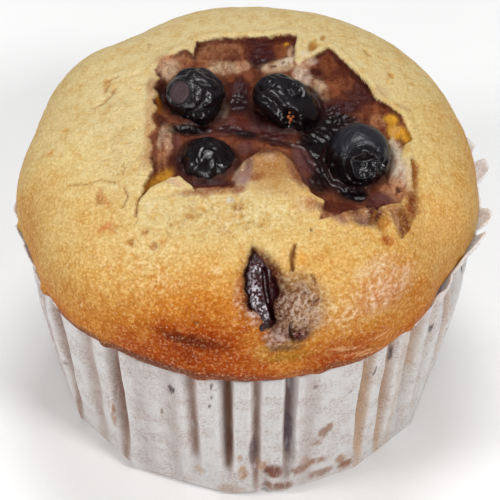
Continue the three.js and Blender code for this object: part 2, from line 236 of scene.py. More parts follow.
# Shallow pits and lumps on the crust: x, y, half sizes, turn in degrees, depth (lumps are negative).
PITS = [
    (10.4, 17.8, 0.9, 2.4, -12, 0.55), (12, 20.2, 0.5, 1.3, -10, 0.4), (11.2, 18.9, 0.9, 1, 0, -0.35),
    (18.9, 17.4, 0.4, 1.6, 25, 0.3), (16.5, 19.5, 0.9, 0.6, 0, 0.25), (22.4, 12.3, 0.6, 1.1, 20, 0.3),
    (25.9, 11.6, 0.4, 0.6, 0, 0.25), (-1.4, -18.2, 1.1, 0.8, 0, 0.5), (-2.5, -16.9, 0.5, 0.7, 0, -0.35),
    (9.7, -21.9, 0.22, 0.28, 0, 0.4), (-17.6, 11.2, 0.9, 0.5, 20, 0.25), (-15.7, 19, 0.8, 0.5, 0, 0.3),
    (-28, 0.8, 0.6, 0.4, 0, 0.25), (-22.2, -14.7, 0.9, 0.4, 60, 0.3), (-20.1, -19.9, 1.3, 0.6, 10, 0.3),
    (21.2, -21.6, 1, 0.9, 0, 0.35), (20.2, -19.3, 0.8, 1.6, 0, 0.5), (15.5, -18.6, 1.7, 0.9, -20, -0.5),
    (21.3, -17.9, 0.9, 1.4, 20, -0.6), (24.4, -14.2, 0.9, 2, 0, -0.3), (-0.4, -10.8, 0.8, 1.9, -15, -0.5),
    (-11.5, -14.2, 1.9, 0.9, -25, -0.45), (-14.2, -17, 1.6, 2.2, 0, -0.35),
    (-14, -23.8, 0.7, 0.9, 20, 0.6), (-17.5, -22.8, 0.6, 0.8, 0, 0.5), (-15.4, -21.4, 0.9, 0.5, 30, 0.4),
    (-11.4, -20.8, 0.6, 0.5, 0, 0.4), (-8.6, -19.4, 1.2, 0.4, -20, 0.4), (-4.6, -19, 0.9, 0.4, 15, 0.35),
]

# Drips on the crown's lip: bearing, arc, reach and height.
LIP_NUBS = [
    (-98, 45.5, 1, 0.7), (-81, 46.5, 0.7, 0.35), (-60, 47.5, 1, 0.6), (-37, 48, 0.9, 0.5),
    (-12, 48.5, 1.6, 0.4), (18, 48.5, 1.4, 0.4), (44, 47.5, 1, 0.5), (70, 46.5, 0.8, 0.35),
    (118, 46, 1.2, 0.8), (166, 46.5, 1, 0.8), (-140, 46.5, 1.2, 0.8),
]

# Unevenness of the crust: height, size, seed, octaves.
CRUST_RELIEF = [(0.3, 9.0, 1, 2), (0.1, 2.6, 2, 2), (0.045, 0.9, 3, 2)]

# Areas of a kind: x, y, half sizes, turn, the share that fades, strength.
JUICY_AREAS = [
    (12.5, -7, 6, 9.5, 10, 0.8, 1), (4, -4.6, 6, 2.6, -15, 0.8, 1), (-3, 2, 4, 8, 0, 0.9, 0.7),
]
CRUMBLY_AREAS = [(-4, -19.5, 17, 6.5, 0, 0.8, 1), (-19, -6, 4, 14, 0, 0.9, 1)]
# On the burst berry, pale frost that is partly painted highlights.
FROST_AND_HIGHLIGHT_AREAS = [
    (-0.3, 2.2, 1.8, 1.5, 0, 0.8, 1), (-1.1, -1.4, 1.3, 2.8, 0, 0.8, 1), (0.3, -3.9, 0.9, 1.3, 20, 0.6, 1.3),
]
SPECKLED_AREAS = [(13 * MILLIMETRES_A_DEGREE, 35.5, 5, 5.5, 0, 0.7, 1)]

# The juice lies in wrinkles along this path.
JUICE_TONGUE = [(-0.5, -4.6), (3.4, -5.6), (6.6, -7.8), (8.6, -11.4), (10.4, -15.4)]

# The crack in the burst berry: x, y on the slope of the crown, from the berry's middle.
BURST_CRACK = [(0.6, 2.4), (0.7, -0.5), (1.0, -2.6), (1.5, -4.6)]

# ---- Colours ----

# Colours placed by x and y are taken where a line through the vertex, sloping down towards the back,
# meets the whole dome. This is how far the line runs back for each millimetre that it falls.
PAINT_SLANT = 0.95

# How brown the crust is: bearing, arc, browning from 0 (pale) to 1 (darkest).
BROWNING = [
    (0, 0, 0.02), (0, 12, 0.04), (90, 12, 0.03), (180, 12, 0.02), (-90, 12, 0.02), (0, 23, 0.17),
    (0, 28, 0.34), (0, 33, 0.55), (0, 38, 0.64), (0, 42, 0.62), (0, 45, 0.66), (-10, 23, 0.2),
    (-10, 28, 0.4), (-10, 33, 0.53), (-10, 37, 0.62), (-9, 41, 0.94), (-12, 45, 0.68), (-20, 23, 0.2),
    (-20, 28, 0.34), (-20, 33, 0.46), (-20, 38, 0.62), (-18, 41, 0.92), (-20, 45, 0.7), (-31, 23, 0.06),
    (-31, 28, 0.14), (-31, 33, 0.32), (-31, 38, 0.45), (-31, 42, 0.6), (-31, 45, 0.7), (-42, 23, 0.1),
    (-42, 28, 0.26), (-42, 33, 0.33), (-42, 38, 0.4), (-42, 42, 0.47), (-42, 45, 0.54), (-55, 23, 0.12),
    (-55, 29, 0.32), (-55, 35, 0.28), (-55, 40, 0.36), (-55, 45, 0.46), (-72, 23, 0.06), (-72, 30, 0.2),
    (-72, 36, 0.32), (-72, 42, 0.45), (-72, 46, 0.55), (-92, 20, 0.02), (-92, 30, 0.1), (-92, 38, 0.25),
    (-92, 44, 0.42), (10, 23, 0.17), (10, 28, 0.34), (15, 33, 0.32), (15, 38, 0.36), (10, 43, 0.5),
    (15, 45, 0.66), (22, 23, 0.24), (22, 28, 0.42), (22, 33, 0.34), (22, 38, 0.42), (22, 42, 0.62),
    (22, 45, 0.74), (32, 24, 0.26), (32, 30, 0.34), (32, 36, 0.46), (32, 41, 0.52), (32, 45, 0.64),
    (43, 28, 0.3), (43, 33, 0.42), (43, 38, 0.52), (43, 42, 0.52), (43, 45, 0.6), (56, 28, 0.3),
    (56, 33, 0.4), (56, 38, 0.38), (56, 44, 0.45), (72, 22, 0.12), (72, 30, 0.26), (72, 38, 0.36),
    (72, 45, 0.45), (92, 22, 0.12), (92, 30, 0.28), (92, 38, 0.38), (92, 45, 0.45), (122, 20, 0.05),
    (122, 30, 0.14), (122, 39, 0.3), (122, 45, 0.42), (152, 20, 0.02), (152, 30, 0.08), (152, 39, 0.24),
    (152, 45, 0.4), (180, 20, 0.02), (180, 30, 0.06), (180, 39, 0.22), (180, 45, 0.4), (-152, 20, 0.02),
    (-152, 30, 0.06), (-152, 39, 0.22), (-152, 45, 0.4), (-122, 20, 0.02), (-122, 30, 0.08),
    (-122, 39, 0.24), (-122, 45, 0.4), (-25, 49, 0.97), (0, 49, 0.95), (25, 49, 0.9), (-50, 49, 0.85),
    (50, 49, 0.82), (-80, 49, 0.15), (80, 49, 0.15), (-115, 49, 0.15), (115, 49, 0.15), (-150, 49, 0.4),
    (150, 49, 0.4), (180, 49, 0.4),
]
BROWNING_COLOURS = [
    (0, (226, 204, 150)), (0.2, (224, 194, 128)), (0.38, (217, 168, 91)), (0.55, (202, 128, 44)),
    (0.72, (170, 74, 10)), (0.9, (116, 28, 0)), (1, (92, 28, 8)),
]

# Stains on the crust: x, y, half sizes, turn, colour, strength.
CRUST_STAINS = [
    (0.8, -11.2, 2, 2.8, 0, (190, 142, 112), 0.65), (2.6, -7.6, 3.4, 1.3, -12, (146, 96, 70), 0.75),
    (8, -12.2, 1.3, 3.4, 22, (122, 68, 50), 0.75), (20, -17.9, 1.1, 0.7, 0, (104, 58, 46), 0.9),
    (8.6, -17.6, 2.2, 1.6, 0, (200, 152, 112), 0.5), (-14.9, 0, 1.1, 9.5, 0, (176, 120, 76), 0.55),
    (-14.6, 8, 1.2, 2.6, 0, (150, 100, 72), 0.6), (-14.6, -8, 1.9, 3.2, 0, (170, 116, 76), 0.6),
    (-12.8, 14, 2, 1.8, 0, (176, 126, 88), 0.8), (4, -10, 5.4, 6, 0, (170, 116, 60), 0.9),
    (4.6, -14.6, 4.6, 2, -10, (196, 152, 92), 0.7), (2.6, -7, 3.4, 1.7, -12, (100, 54, 40), 0.9),
    (3.4, -8.6, 1.6, 1.2, 0, (196, 156, 118), 0.6), (1.2, -12.4, 1.6, 1.1, 20, (142, 82, 42), 0.85),
    (7.2, -11.4, 1.1, 3.8, 22, (128, 78, 54), 0.85), (9.8, -17.2, 1.4, 1.6, 30, (176, 122, 84), 0.7),
    (0.2, -9.6, 1, 2.8, -6, (124, 88, 78), 0.85), (-0.6, -12.8, 1.5, 3, -10, (150, 116, 108), 0.95),
    (-1.4, -15, 1.4, 1, 0, (138, 82, 60), 0.8), (-6, -15.2, 5.8, 1.1, 4, (150, 96, 68), 0.9),
    (-10.6, -13.4, 2.2, 0.8, -30, (206, 166, 138), 0.7),
    (-2.5, -16.9, 0.55, 0.8, 0, (226, 216, 204), 0.9), (-1.4, -18.2, 1.2, 0.75, 0, (186, 140, 58), 0.85),
    (-14.6, -17.6, 0.9, 1.6, 0, (228, 206, 158), 0.6), (20.6, 7.4, 1.8, 2, -35, (205, 166, 122), 0.55),
    (24.2, 4.6, 1.6, 0.9, -30, (196, 158, 112), 0.6), (13.4, -19.2, 2.8, 1.2, -25, (196, 150, 118), 0.8),
    (12.6, -18.5, 3.2, 1.1, -30, (112, 56, 38), 0.95), (17.4, -19.3, 2.2, 1.3, 0, (112, 76, 70), 1),
    (17.5, -17.6, 5.5, 2.2, 8, (158, 112, 82), 0.85), (15.4, -17.9, 2, 1.1, -20, (112, 62, 40), 0.9),
    (19.2, -17.7, 1.6, 2.4, 10, (84, 36, 26), 1), (17.2, -16.2, 1, 0.6, 0, (190, 152, 124), 0.7),
    (20.7, -19.4, 0.8, 2.2, 0, (194, 140, 62), 0.95), (21.2, -21.6, 1.2, 1.1, 0, (184, 94, 26), 1),
    (23.4, -18.2, 1.5, 3.6, 8, (104, 46, 24), 1), (22.2, -17.2, 1.1, 2.2, 15, (172, 122, 86), 0.95),
    (24.9, -14.6, 1.6, 3.8, 0, (134, 68, 32), 1), (25.6, -8.8, 0.8, 3.2, 0, (146, 78, 34), 1),
    (24.2, -9.5, 1, 3.4, 0, (206, 180, 150), 0.8), (10.4, 17.8, 0.85, 2.3, -12, (200, 158, 82), 0.85),
    (12, 20.3, 0.55, 1.2, -8, (202, 160, 84), 0.8), (9, 15, 0.8, 1.8, -20, (232, 214, 178), 0.8),
    (18.9, 17.4, 0.4, 1.6, 25, (204, 164, 92), 0.75), (22.4, 12.2, 0.6, 1.1, 20, (206, 152, 82), 0.8),
    (25.9, 11.6, 0.4, 0.7, 0, (206, 156, 86), 0.8), (-15.7, 19, 0.7, 0.5, 0, (182, 146, 108), 0.8),
    (-21.9, 9.8, 0.7, 2, 0, (206, 164, 96), 0.7), (-21.4, 3.6, 0.5, 2.4, -28, (206, 168, 108), 0.6),
    (-22.3, -14.2, 0.7, 1.4, 10, (200, 142, 74), 0.85), (-21.4, -19.4, 1.5, 0.8, 20, (206, 134, 72), 0.9),
    (-28, 0.8, 0.8, 0.5, 0, (214, 164, 84), 0.8), (-30.3, -3.1, 0.8, 0.6, 0, (210, 160, 86), 0.8),
    (9.7, -21.9, 0.3, 0.35, 0, (150, 112, 60), 0.9), (-7.5, -18.4, 1.4, 0.5, 0, (206, 158, 88), 0.5),
]

# The colours of the torn crumb and the juice, each with how wet it is.
TORN_PALETTE = {
    "juice": ((10, 2, 4), 1), "plum": ((40, 12, 16), 0.9),
    "wine": ((60, 22, 22), 0.75), "rust": ((82, 34, 24), 0.6), "cocoa": ((66, 29, 21), 0.5),
    "dusk": ((98, 60, 58), 0.6), "stain": ((140, 80, 50), 0.35), "tan": ((180, 122, 84), 0.25),
    "amber": ((160, 94, 18), 0.4), "gold": ((204, 146, 44), 0.6), "straw": ((232, 196, 126), 0.4),
    "rose": ((200, 152, 118), 0.1), "crumb": ((208, 174, 140), 0.05), "lilac": ((212, 184, 162), 0.05),
    "white": ((232, 212, 186), 0),
}

# Colours on the torn surface: x, y, half sizes, turn, colour, strength.
TORN_COLOURS = [
    (1, -1.6, 7.5, 3.6, -8, "wine", 0.8), (13, -6, 6.4, 10, 10, "plum", 0.9),
    (-2.2, 5, 3, 5, 0, "cocoa", 0.8), (11, 3, 6, 3.5, -30, "wine", 0.8),
    (-9, 13.6, 4.6, 3.4, 0, "tan", 0.6), (-12.4, 11.8, 1.8, 3.4, 0, "crumb", 0.9),
    (-12.6, 14.7, 1.2, 0.9, 0, "tan", 0.9), (-5.6, 17.2, 3, 1.8, 8, "tan", 1),
    (-8.7, 17.6, 0.7, 1.3, 0, "rust", 0.9), (-5, 18.9, 3, 0.4, 8, "cocoa", 0.6),
    (-2.8, 16.4, 2.4, 2, 0, "tan", 0.7), (3.4, 18.7, 4.8, 1.3, 3, "rust", 0.8),
    (5.4, 16.2, 1.9, 2, 0, "stain", 0.95), (7.1, 15, 0.8, 2.4, 0, "crumb", 0.85),
    (2.4, 14.9, 2.6, 3.8, -8, "wine", 1), (1.7, 12.6, 1.7, 1.4, 0, "plum", 0.8),
    (0.9, 18, 1.2, 1.4, 0, "wine", 0.9), (-2.7, 18.6, 0.5, 0.9, 0, "cocoa", 0.6),
    (6.3, 17.6, 0.42, 0.5, 0, "gold", 1), (-3.8, 11.6, 3, 1.8, -15, "crumb", 0.8),
    (-0.7, 12.2, 1.6, 1.3, 0, "rose", 0.8), (-7.5, 12.4, 2.6, 0.9, 0, "stain", 0.7),
    (5.4, 12.2, 3.8, 1.5, 18, "crumb", 0.95), (6.4, 13.2, 2.2, 0.8, 30, "white", 0.8),
    (4.2, 12, 0.7, 0.4, 10, "rust", 0.8), (5.6, 13, 0.3, 0.25, 0, "cocoa", 0.8),
    (8.6, 12.6, 1.3, 2.4, 0, "rose", 0.8), (8, 10.6, 0.5, 1.2, 10, "straw", 0.9),
    (8.8, 9.6, 1.5, 2.4, 25, "lilac", 0.95), (10.2, 13.6, 1.3, 1, 35, "lilac", 0.8),
    (13.2, 12.4, 2.4, 4.4, 32, "rust", 0.6), (13.2, 8.4, 2.4, 3.8, 34, "stain", 0.8),
    (11.6, 6.8, 1.4, 2.8, 20, "crumb", 0.8), (13, 6, 1.6, 1.6, 0, "stain", 0.8),
    (12.8, 13.6, 1.3, 2.2, 0, "stain", 0.8), (10.9, 10.9, 1.3, 1.1, -25, "cocoa", 0.95),
    (11.6, 9.6, 0.9, 1.2, -30, "wine", 0.6), (16.6, 11.2, 0.8, 5.4, 35, "cocoa", 0.9),
    (18, 7.4, 1.3, 2.2, 25, "wine", 0.85), (17.6, 5.6, 3.2, 1.7, -20, "wine", 0.9),
    (15.4, 3.2, 3.4, 2, 10, "wine", 1), (14, 4.2, 1.3, 0.8, 10, "rust", 0.5),
    (20.6, 2.8, 2, 2.4, 0, "stain", 0.95), (20.4, 0.6, 1.4, 1.6, 0, "tan", 0.8),
    (22.4, 4, 2.2, 0.8, -20, "rust", 0.8), (24.2, 2.2, 0.5, 1.8, -15, "stain", 0.8),
    (22.5, 1.3, 1.3, 1.4, -10, "gold", 1), (23, -1.4, 1.3, 2.1, 12, "gold", 1),
    (24.5, -1.7, 0.9, 2.2, 16, "gold", 1), (22.6, -3.2, 0.4, 1.2, -15, "straw", 0.85),
    (23.2, -4.2, 1.1, 0.9, 0, "gold", 0.5), (22.7, -4.9, 1.2, 1.8, 0, "white", 1),
    (23.2, -8.6, 1.4, 3.6, 0, "white", 0.95), (22.9, -11.4, 1.2, 1.2, 0, "rose", 0.9),
    (22.6, -13.4, 2, 1.6, 0, "tan", 0.9), (23.2, -12.9, 0.5, 0.5, 0, "wine", 0.8),
    (20.6, -14.9, 1.9, 1.2, 20, "dusk", 0.9), (19.3, -17, 1.1, 2, 10, "wine", 0.9),
    (15.4, -17.6, 1.9, 1.2, 0, "rust", 0.9), (13, -17.7, 2.8, 1.2, -25, "rust", 0.8),
    (11.8, -19, 1.4, 0.6, -25, "tan", 0.8), (13.6, -7.5, 4.7, 8.8, 12, "juice", 1),
    (10.4, -1.4, 3, 2.4, 0, "juice", 0.9), (14.2, 0.2, 4, 1.6, 0, "juice", 0.9),
    (12.8, 1.8, 2.4, 1.2, 20, "plum", 0.9), (16.5, -14.8, 2.8, 2, 0, "juice", 1),
    (9.6, -5.2, 2.2, 2, -20, "juice", 0.85), (4, -3.4, 3.6, 0.9, -14, "wine", 0.95),
    (3, -2.4, 2.2, 0.5, -24, "dusk", 0.9), (4.8, -5.2, 3.8, 0.9, -16, "plum", 0.9),
    (8.6, -8.8, 1.4, 3.2, 24, "dusk", 0.9), (9.6, -9.8, 0.4, 3.4, 22, "plum", 0.8),
    (10.8, -13.4, 2.2, 2.2, 40, "juice", 0.85), (8.7, -12.6, 0.4, 2, 25, "dusk", 0.8),
    (-1.2, 6, 1.9, 3.6, 0, "wine", 1), (-1.2, 3.2, 1.8, 2.6, 0, "plum", 0.95),
    (-2.8, 9.4, 0.9, 1.6, 20, "stain", 0.7), (-0.6, -0.8, 1, 1.6, 30, "rust", 0.95),
    (0.8, -2.2, 1.6, 0.6, -25, "dusk", 0.9), (-2.8, -2.6, 2.4, 1.3, 0, "plum", 0.8),
    (-0.2, -3.6, 2, 1, -10, "juice", 0.9), (-3.6, 2, 1, 1.8, 0, "lilac", 0.45),
    (-3.9, 2.9, 0.4, 0.6, 0, "rose", 0.8), (-2.3, -0.6, 0.8, 1.2, 20, "dusk", 0.8),
    (-8.8, -2.2, 4.4, 1.5, 0, "juice", 0.85), (-5.6, -3.5, 3, 0.5, 4, "dusk", 0.8),
    (-13.9, 5.2, 1.5, 4.4, 0, "cocoa", 1), (-13.7, 3.4, 0.5, 2.6, 5, "amber", 0.6),
    (-13.2, -0.2, 1.1, 1.4, 0, "cocoa", 0.8), (-12.7, -4.2, 1.5, 3.2, 0, "crumb", 0.6),
    (-12.2, -6, 0.9, 1.8, 10, "rose", 0.6), (-10.9, -4.6, 0.8, 2.4, 0, "dusk", 0.7),
    (-11, -9.6, 1.5, 2.8, 8, "cocoa", 1), (-13.4, -9, 1.4, 2.6, 0, "tan", 0.9),
    (-11.8, -12, 1.4, 1.2, 20, "rust", 0.8), (-9.6, -12.8, 1.8, 1.2, -30, "rust", 0.8),
    (-5.6, -13.6, 4.2, 0.8, 0, "wine", 0.95), (-5.6, -15, 4.4, 0.5, 0, "tan", 0.8),
    (-1.2, -12.2, 0.8, 2.2, -15, "lilac", 0.5), (-0.2, -6.6, 1.6, 1.6, 0, "dusk", 0.8),
    (-13.8, -13.2, 1.6, 3.8, -38, "gold", 0.8), (-15.2, -15.6, 0.5, 1.2, -30, "cocoa", 0.8),
    (-8.6, -2.5, 3.6, 1.1, 0, "juice", 0.95), (-13.9, 9.4, 0.6, 2, 0, "rust", 0.8),
    (-14, -2.5, 0.5, 3.4, 0, "stain", 0.8), (-14.2, -9, 0.5, 2.6, 0, "rust", 0.7),
]

# Colours at the front of the crown, round the burst berry, mostly stains, with some painted light, sheen,
# highlights and shade on the right: bearing, arc, half sizes in millimetres, turn, colour, strength.
FRONT_STAINS_AND_PAINTED_LIGHT = [
    (13, 34.6, 5.1, 5.2, 0, (172, 130, 96), 0.9), (11.5, 31.4, 3.4, 1.6, -8, (156, 112, 64), 0.9),
    (9.5, 35, 1.8, 4, 0, (150, 112, 92), 0.9), (15.8, 37.4, 2.6, 2, 0, (204, 168, 140), 0.8),
    (15, 33, 2, 1.4, 0, (146, 104, 78), 0.8), (18, 34.8, 0.85, 0.45, 0, (120, 40, 14), 0.95),
    (8.2, 39.2, 2.6, 2.1, 0, (140, 96, 84), 0.95), (12.7, 39.5, 2.1, 1.7, 0, (86, 34, 32), 1),
    (5.6, 40.4, 1.3, 1.6, 0, (150, 104, 74), 0.85), (8.5, 41.7, 3.4, 1, 0, (112, 82, 54), 0.9),
    (9.5, 43.6, 4.2, 1.3, 0, (166, 112, 28), 0.85), (3.4, 42.2, 1.6, 1.8, 0, (206, 150, 70), 0.7),
    (3.4, 27.6, 2.4, 2.4, 0, (140, 88, 64), 0.8), (6.8, 29.6, 2.6, 3.2, -20, (96, 50, 40), 0.9),
    (3.8, 31.6, 4.3, 5.8, 0, (78, 30, 22), 0.95), (-2.2, 32, 0.8, 3.4, 0, (176, 96, 50), 0.6),
    (-13.5, 40.8, 6.2, 1.3, 4, (100, 30, 4), 0.9), (3.4, 36.4, 1.5, 1.6, 0, (172, 110, 74), 0.8),
    (14.9, 27.2, 0.5, 1.9, 32, (112, 58, 18), 1), (13.6, 29, 0.45, 1.3, 8, (124, 66, 22), 1),
    (16.8, 28, 1.3, 1.4, 0, (222, 158, 66), 0.8), (18.9, 32, 0.4, 1.3, -14, (136, 76, 28), 0.95),
    (14, 30.8, 1.2, 0.6, 0, (170, 120, 48), 0.7), (26, 28.2, 0.8, 0.8, 0, (206, 158, 78), 0.7),
    (-28, 27.2, 1, 0.7, 20, (208, 146, 70), 0.8), (-46, 28.6, 2.2, 0.5, 0, (206, 138, 84), 0.7),
    (-54, 26.2, 1.8, 0.5, 15, (204, 132, 70), 0.7), (-9, 29.3, 1.2, 0.7, 0, (236, 196, 140), 0.7),
    (-12.8, 37.6, 0.5, 0.3, 0, (90, 46, 24), 0.9), (-28, 47.7, 22, 1.3, 0, (104, 60, 46), 0.85),
    # Painted light: the broad pale patch at bearing 64 lightens the right side, where the light falls.
    (22, 47.9, 9, 1, 0, (128, 72, 40), 0.7), (64, 36.5, 7.5, 6, 0, (236, 178, 100), 0.5),
    # Painted sheen: the pinkish and pale patches at bearing 36 on this line.
    (36, 37, 6.5, 3, 0, (214, 158, 116), 0.6), (36, 33, 4.5, 1.6, 0, (230, 194, 150), 0.5),
    # Painted highlights: thin pale lines along two small folds of the lip. The dark line at the end is
    # painted shade between the folds.
    (24, 44.2, 3.4, 0.28, 14, (232, 180, 124), 0.85), (27.5, 46.1, 4.2, 0.26, 12, (222, 168, 112), 0.85),
    (31, 47.2, 4, 0.24, 12, (214, 158, 104), 0.8), (34, 44.4, 3, 0.25, 10, (230, 178, 124), 0.7),
    (26, 45.2, 5, 0.35, 13, (150, 74, 18), 0.8),
]
FRONT_STAINS_TO = 80

# Mottled places where pale crumb shows through the crust, and at bearing 36 a pale mottle that is partly
# painted sparkle: bearing, arc, half sizes in millimetres, how much shows, and its dark and pale colours.
MOTTLED = [
    (-8, 19.5, 24, 5, 0.35, (206, 164, 98), (248, 232, 188)),
    (-30, 30, 9, 6, 0.35, (200, 132, 66), (246, 218, 168)),
    (13.5, 35, 5.2, 4.6, 0.75, (116, 68, 46), (216, 192, 172)),
    (8, 39.4, 2.6, 2, 0.8, (86, 44, 40), (212, 186, 176)),
    (12.8, 39.6, 2, 1.5, 0.9, (64, 22, 20), (122, 66, 62)),
    (10, 31, 3.6, 1.8, 0.6, (120, 76, 38), (214, 184, 140)),
    (1.2, 36, 1.6, 1.4, 0.7, (110, 44, 22), (226, 206, 196)),
    (-2.4, 33.6, 1, 3, 0.5, (140, 62, 26), (226, 190, 160)),
    (4.6, 28.2, 2, 2, 0.5, (84, 40, 34), (200, 170, 140)),
    # Partly painted sparkle of highlights on the right front.
    (36, 36, 8, 4, 0.6, (206, 132, 84), (244, 212, 184)),
    (24, 38, 4.5, 4, 0.5, (196, 128, 66), (240, 204, 160)),
]

# Colour in and beside a pleat, partly painted shade of the fold and of the dimmer panels, partly brown where
# grease and crust show through the paper: bearing, half width, lowest height, colour, strength.
PLEAT_SHADE_AND_STAINS = [
    (-72, 9, -9, (176, 158, 152), 0.6), (-60.2, 3.4, -4, (146, 112, 98), 0.8),
    (-48, 4.4, -4, (168, 146, 138), 0.7), (-38.6, 2.8, -6, (142, 106, 90), 0.85),
    (-30, 5, -9, (184, 172, 170), 0.6), (-21, 4, -9, (180, 166, 162), 0.6),
    (-15, 2.4, 6, (136, 100, 84), 0.8), (-5.4, 2.2, 5, (112, 66, 32), 0.95),
    (2.5, 1.8, -2, (134, 98, 82), 0.85), (11.6, 2, 4, (108, 84, 80), 0.9),
    (17, 4, -6, (184, 168, 162), 0.6), (34.2, 2.6, -2, (196, 156, 118), 0.8),
    (42, 2.8, -4, (194, 156, 122), 0.8), (46.5, 2.4, -6, (202, 180, 162), 0.6),
    (51.5, 3.4, 14, (180, 146, 118), 0.75), (57, 2.8, 4, (204, 180, 162), 0.7),
    (66, 3.4, 2, (196, 168, 146), 0.6),
]

# Stains on the paper: bearing, height, half sizes in millimetres, colour, strength.
PAPER_STAINS = [
    (-20.5, 26.6, 0.55, 0.85, (40, 26, 24), 1), (9, 2.6, 2.4, 1.1, (134, 88, 66), 0.7),
    (22, 3.4, 2.2, 1, (150, 104, 78), 0.6), (-20.5, 26.8, 0.55, 0.6, (52, 42, 42), 0.95),
    (-20.9, 25.6, 0.2, 0.5, (110, 84, 74), 0.7), (-24.1, 19.5, 0.25, 0.6, (130, 98, 76), 0.7),
    (-30.2, 10.5, 0.6, 0.5, (150, 120, 104), 0.45), (-9.1, 29.6, 0.15, 0.9, (84, 62, 56), 0.9),
    (-9.4, 26.8, 0.16, 0.5, (84, 62, 56), 0.85), (-9.7, 24.6, 0.18, 0.3, (100, 74, 62), 0.8),
    (7.6, 6.9, 1.5, 1.7, (122, 70, 48), 1), (15.5, 6.2, 1.6, 0.9, (150, 112, 92), 0.7),
    (1.6, 12, 0.6, 3.5, (112, 92, 96), 0.7), (11.9, 15, 0.5, 5, (112, 98, 108), 0.7),
    (4.1, 8.5, 0.9, 1.6, (186, 150, 122), 0.7), (-1.2, 7, 0.7, 1.9, (186, 150, 122), 0.75),
    (-2, 11, 0.4, 0.9, (186, 150, 122), 0.6), (21.4, 15, 0.7, 1.4, (150, 112, 92), 0.7),
    (23, 16, 0.6, 1, (156, 116, 92), 0.7), (20, 12.5, 0.9, 0.6, (166, 128, 106), 0.6),
    (20.2, 7.2, 1.8, 0.8, (160, 120, 98), 0.75), (17, 8.6, 0.8, 0.8, (176, 140, 120), 0.6),
    (30.3, 3.4, 1.2, 1, (150, 104, 70), 0.75), (28.4, 5.4, 0.9, 1, (170, 128, 96), 0.7),
    (43.2, 26.5, 0.16, 2.2, (70, 54, 50), 0.75), (36.3, 26, 0.16, 1, (74, 58, 54), 0.8),
    (58.6, 25.3, 0.28, 0.7, (52, 42, 42), 0.95), (76, 29.5, 0.35, 0.9, (40, 34, 36), 0.95),
    (28.8, 23.7, 0.5, 0.14, (120, 96, 86), 0.7), (18.4, 27.6, 0.3, 0.12, (120, 96, 86), 0.7),
    (27.4, 26.7, 0.3, 0.12, (120, 96, 86), 0.7), (-40.8, 14, 0.3, 1.2, (150, 104, 74), 0.7),
    (-41.5, 11, 0.5, 1.8, (164, 126, 100), 0.6), (-58, 18, 0.3, 0.5, (130, 104, 92), 0.6),
    (-63, 14, 0.4, 0.5, (130, 100, 86), 0.6), (-14, 6, 1, 1, (186, 154, 130), 0.55),
    (-5, 2, 2.2, 1.4, (176, 146, 124), 0.5), (11, 6.5, 1, 2.4, (150, 128, 120), 0.5),
]
PAPER_STAIN_GAIN = 1.25

CRACK_COLOUR = (166, 108, 50)
SOAKED_CRUST = (74, 28, 20)
TORN_BASE = (132, 76, 52)
TORN_BASE_WETNESS = 0.35
SOAKED_CRUMB = (84, 34, 26)
PALE_CRUMB = (206, 164, 136)
# Wet juice and painted contact shadow round the berries, and painted shade under the crisp torn edges.
BERRY_JUICE_AND_SHADOW = (30, 8, 8)
BERRY_RING_WETNESS = 0.8
EDGE_SHADE_LINE = (70, 30, 24)
BURST_HOLE_COLOUR = (44, 10, 8)
BURST_HOLE_WETNESS = 0.85
FROST_AND_HIGHLIGHT_COLOUR = (212, 204, 212)
SEED_COLOUR = (190, 110, 60)
PAPER_COLOUR = (219, 213, 211)
PLEAT_SHADE = (160, 132, 116)
LOOSE_RIM_LIGHT = (242, 238, 238)
GREASE_COLOUR = (196, 166, 140)

# ---- The stage ----

CAMERA_ELEVATION = 46.5
CAMERA_DISTANCE = 0.5
CAMERA_LENS = 224.8
SENSOR_WIDTH = 36.0
NEAR_CLIP = 0.05
AIM_OFFSET = (0.0, -0.00036, -0.0039)
FLOOR_REACH = 1.5
FLOOR_DROP = 0.0001
WORLD_STRENGTH = 0.17

# Soft lights: name, place in metres, size, power.
LIGHTS = [
    ("key", (0.24, -0.26, 0.40), 0.10, 1.06),
    ("left", (-0.32, -0.14, 0.33), 0.12, 0.72),
    ("low", (-0.04, -0.52, 0.16), 0.14, 0.6),
    ("top", (0.02, 0.12, 0.52), 0.18, 1.25),
]


# ---- Small helpers ----


def srgb(red, green, blue):
    """A colour given as it looks on a screen (0 to 255), as linear values."""
    values = np.array([red, green, blue]) / 255.0
    return np.where(values <= 0.04045, values / 12.92, ((values + 0.055) / 1.055) ** 2.4)


def ramp(value, low, high):
    """0 up to low, 1 from high, and smooth between them."""
    share = np.clip((value - low) / (high - low), 0.0, 1.0)
    return share * share * (3.0 - 2.0 * share)


def turn(bearing, start):
    """A bearing's difference from another, from -180 to 180 degrees."""
    return (bearing - start + 180.0) % 360.0 - 180.0


def away_from_front(bearing, near, far):
    """0 up to the near bearing on either side of the front, and 1 from the far one."""
    return ramp(np.abs(turn(bearing, 0)), near, far)


def bump(offset, left, right=None):
    """1 in the middle, and 0 at the ends of its left and right spread."""
    spread = np.where(offset < 0, left, left if right is None else right)
    share = np.clip(np.abs(offset) / spread, 0.0, 1.0)
    return 0.5 + 0.5 * np.cos(np.pi * share)


def lattice(x, y, z, seed):
    """A fixed value from 0 to 1 for each whole-number place."""
    mixed = (x * 374761393 + y * 668265263 + z * 1442695041 + seed * 974634777) & 0xFFFFFFFF
    mixed = ((mixed ^ (mixed >> 13)) * 1274126177) & 0xFFFFFFFF
    return ((mixed ^ (mixed >> 16)) & 0xFFFFFF) / 0xFFFFFF


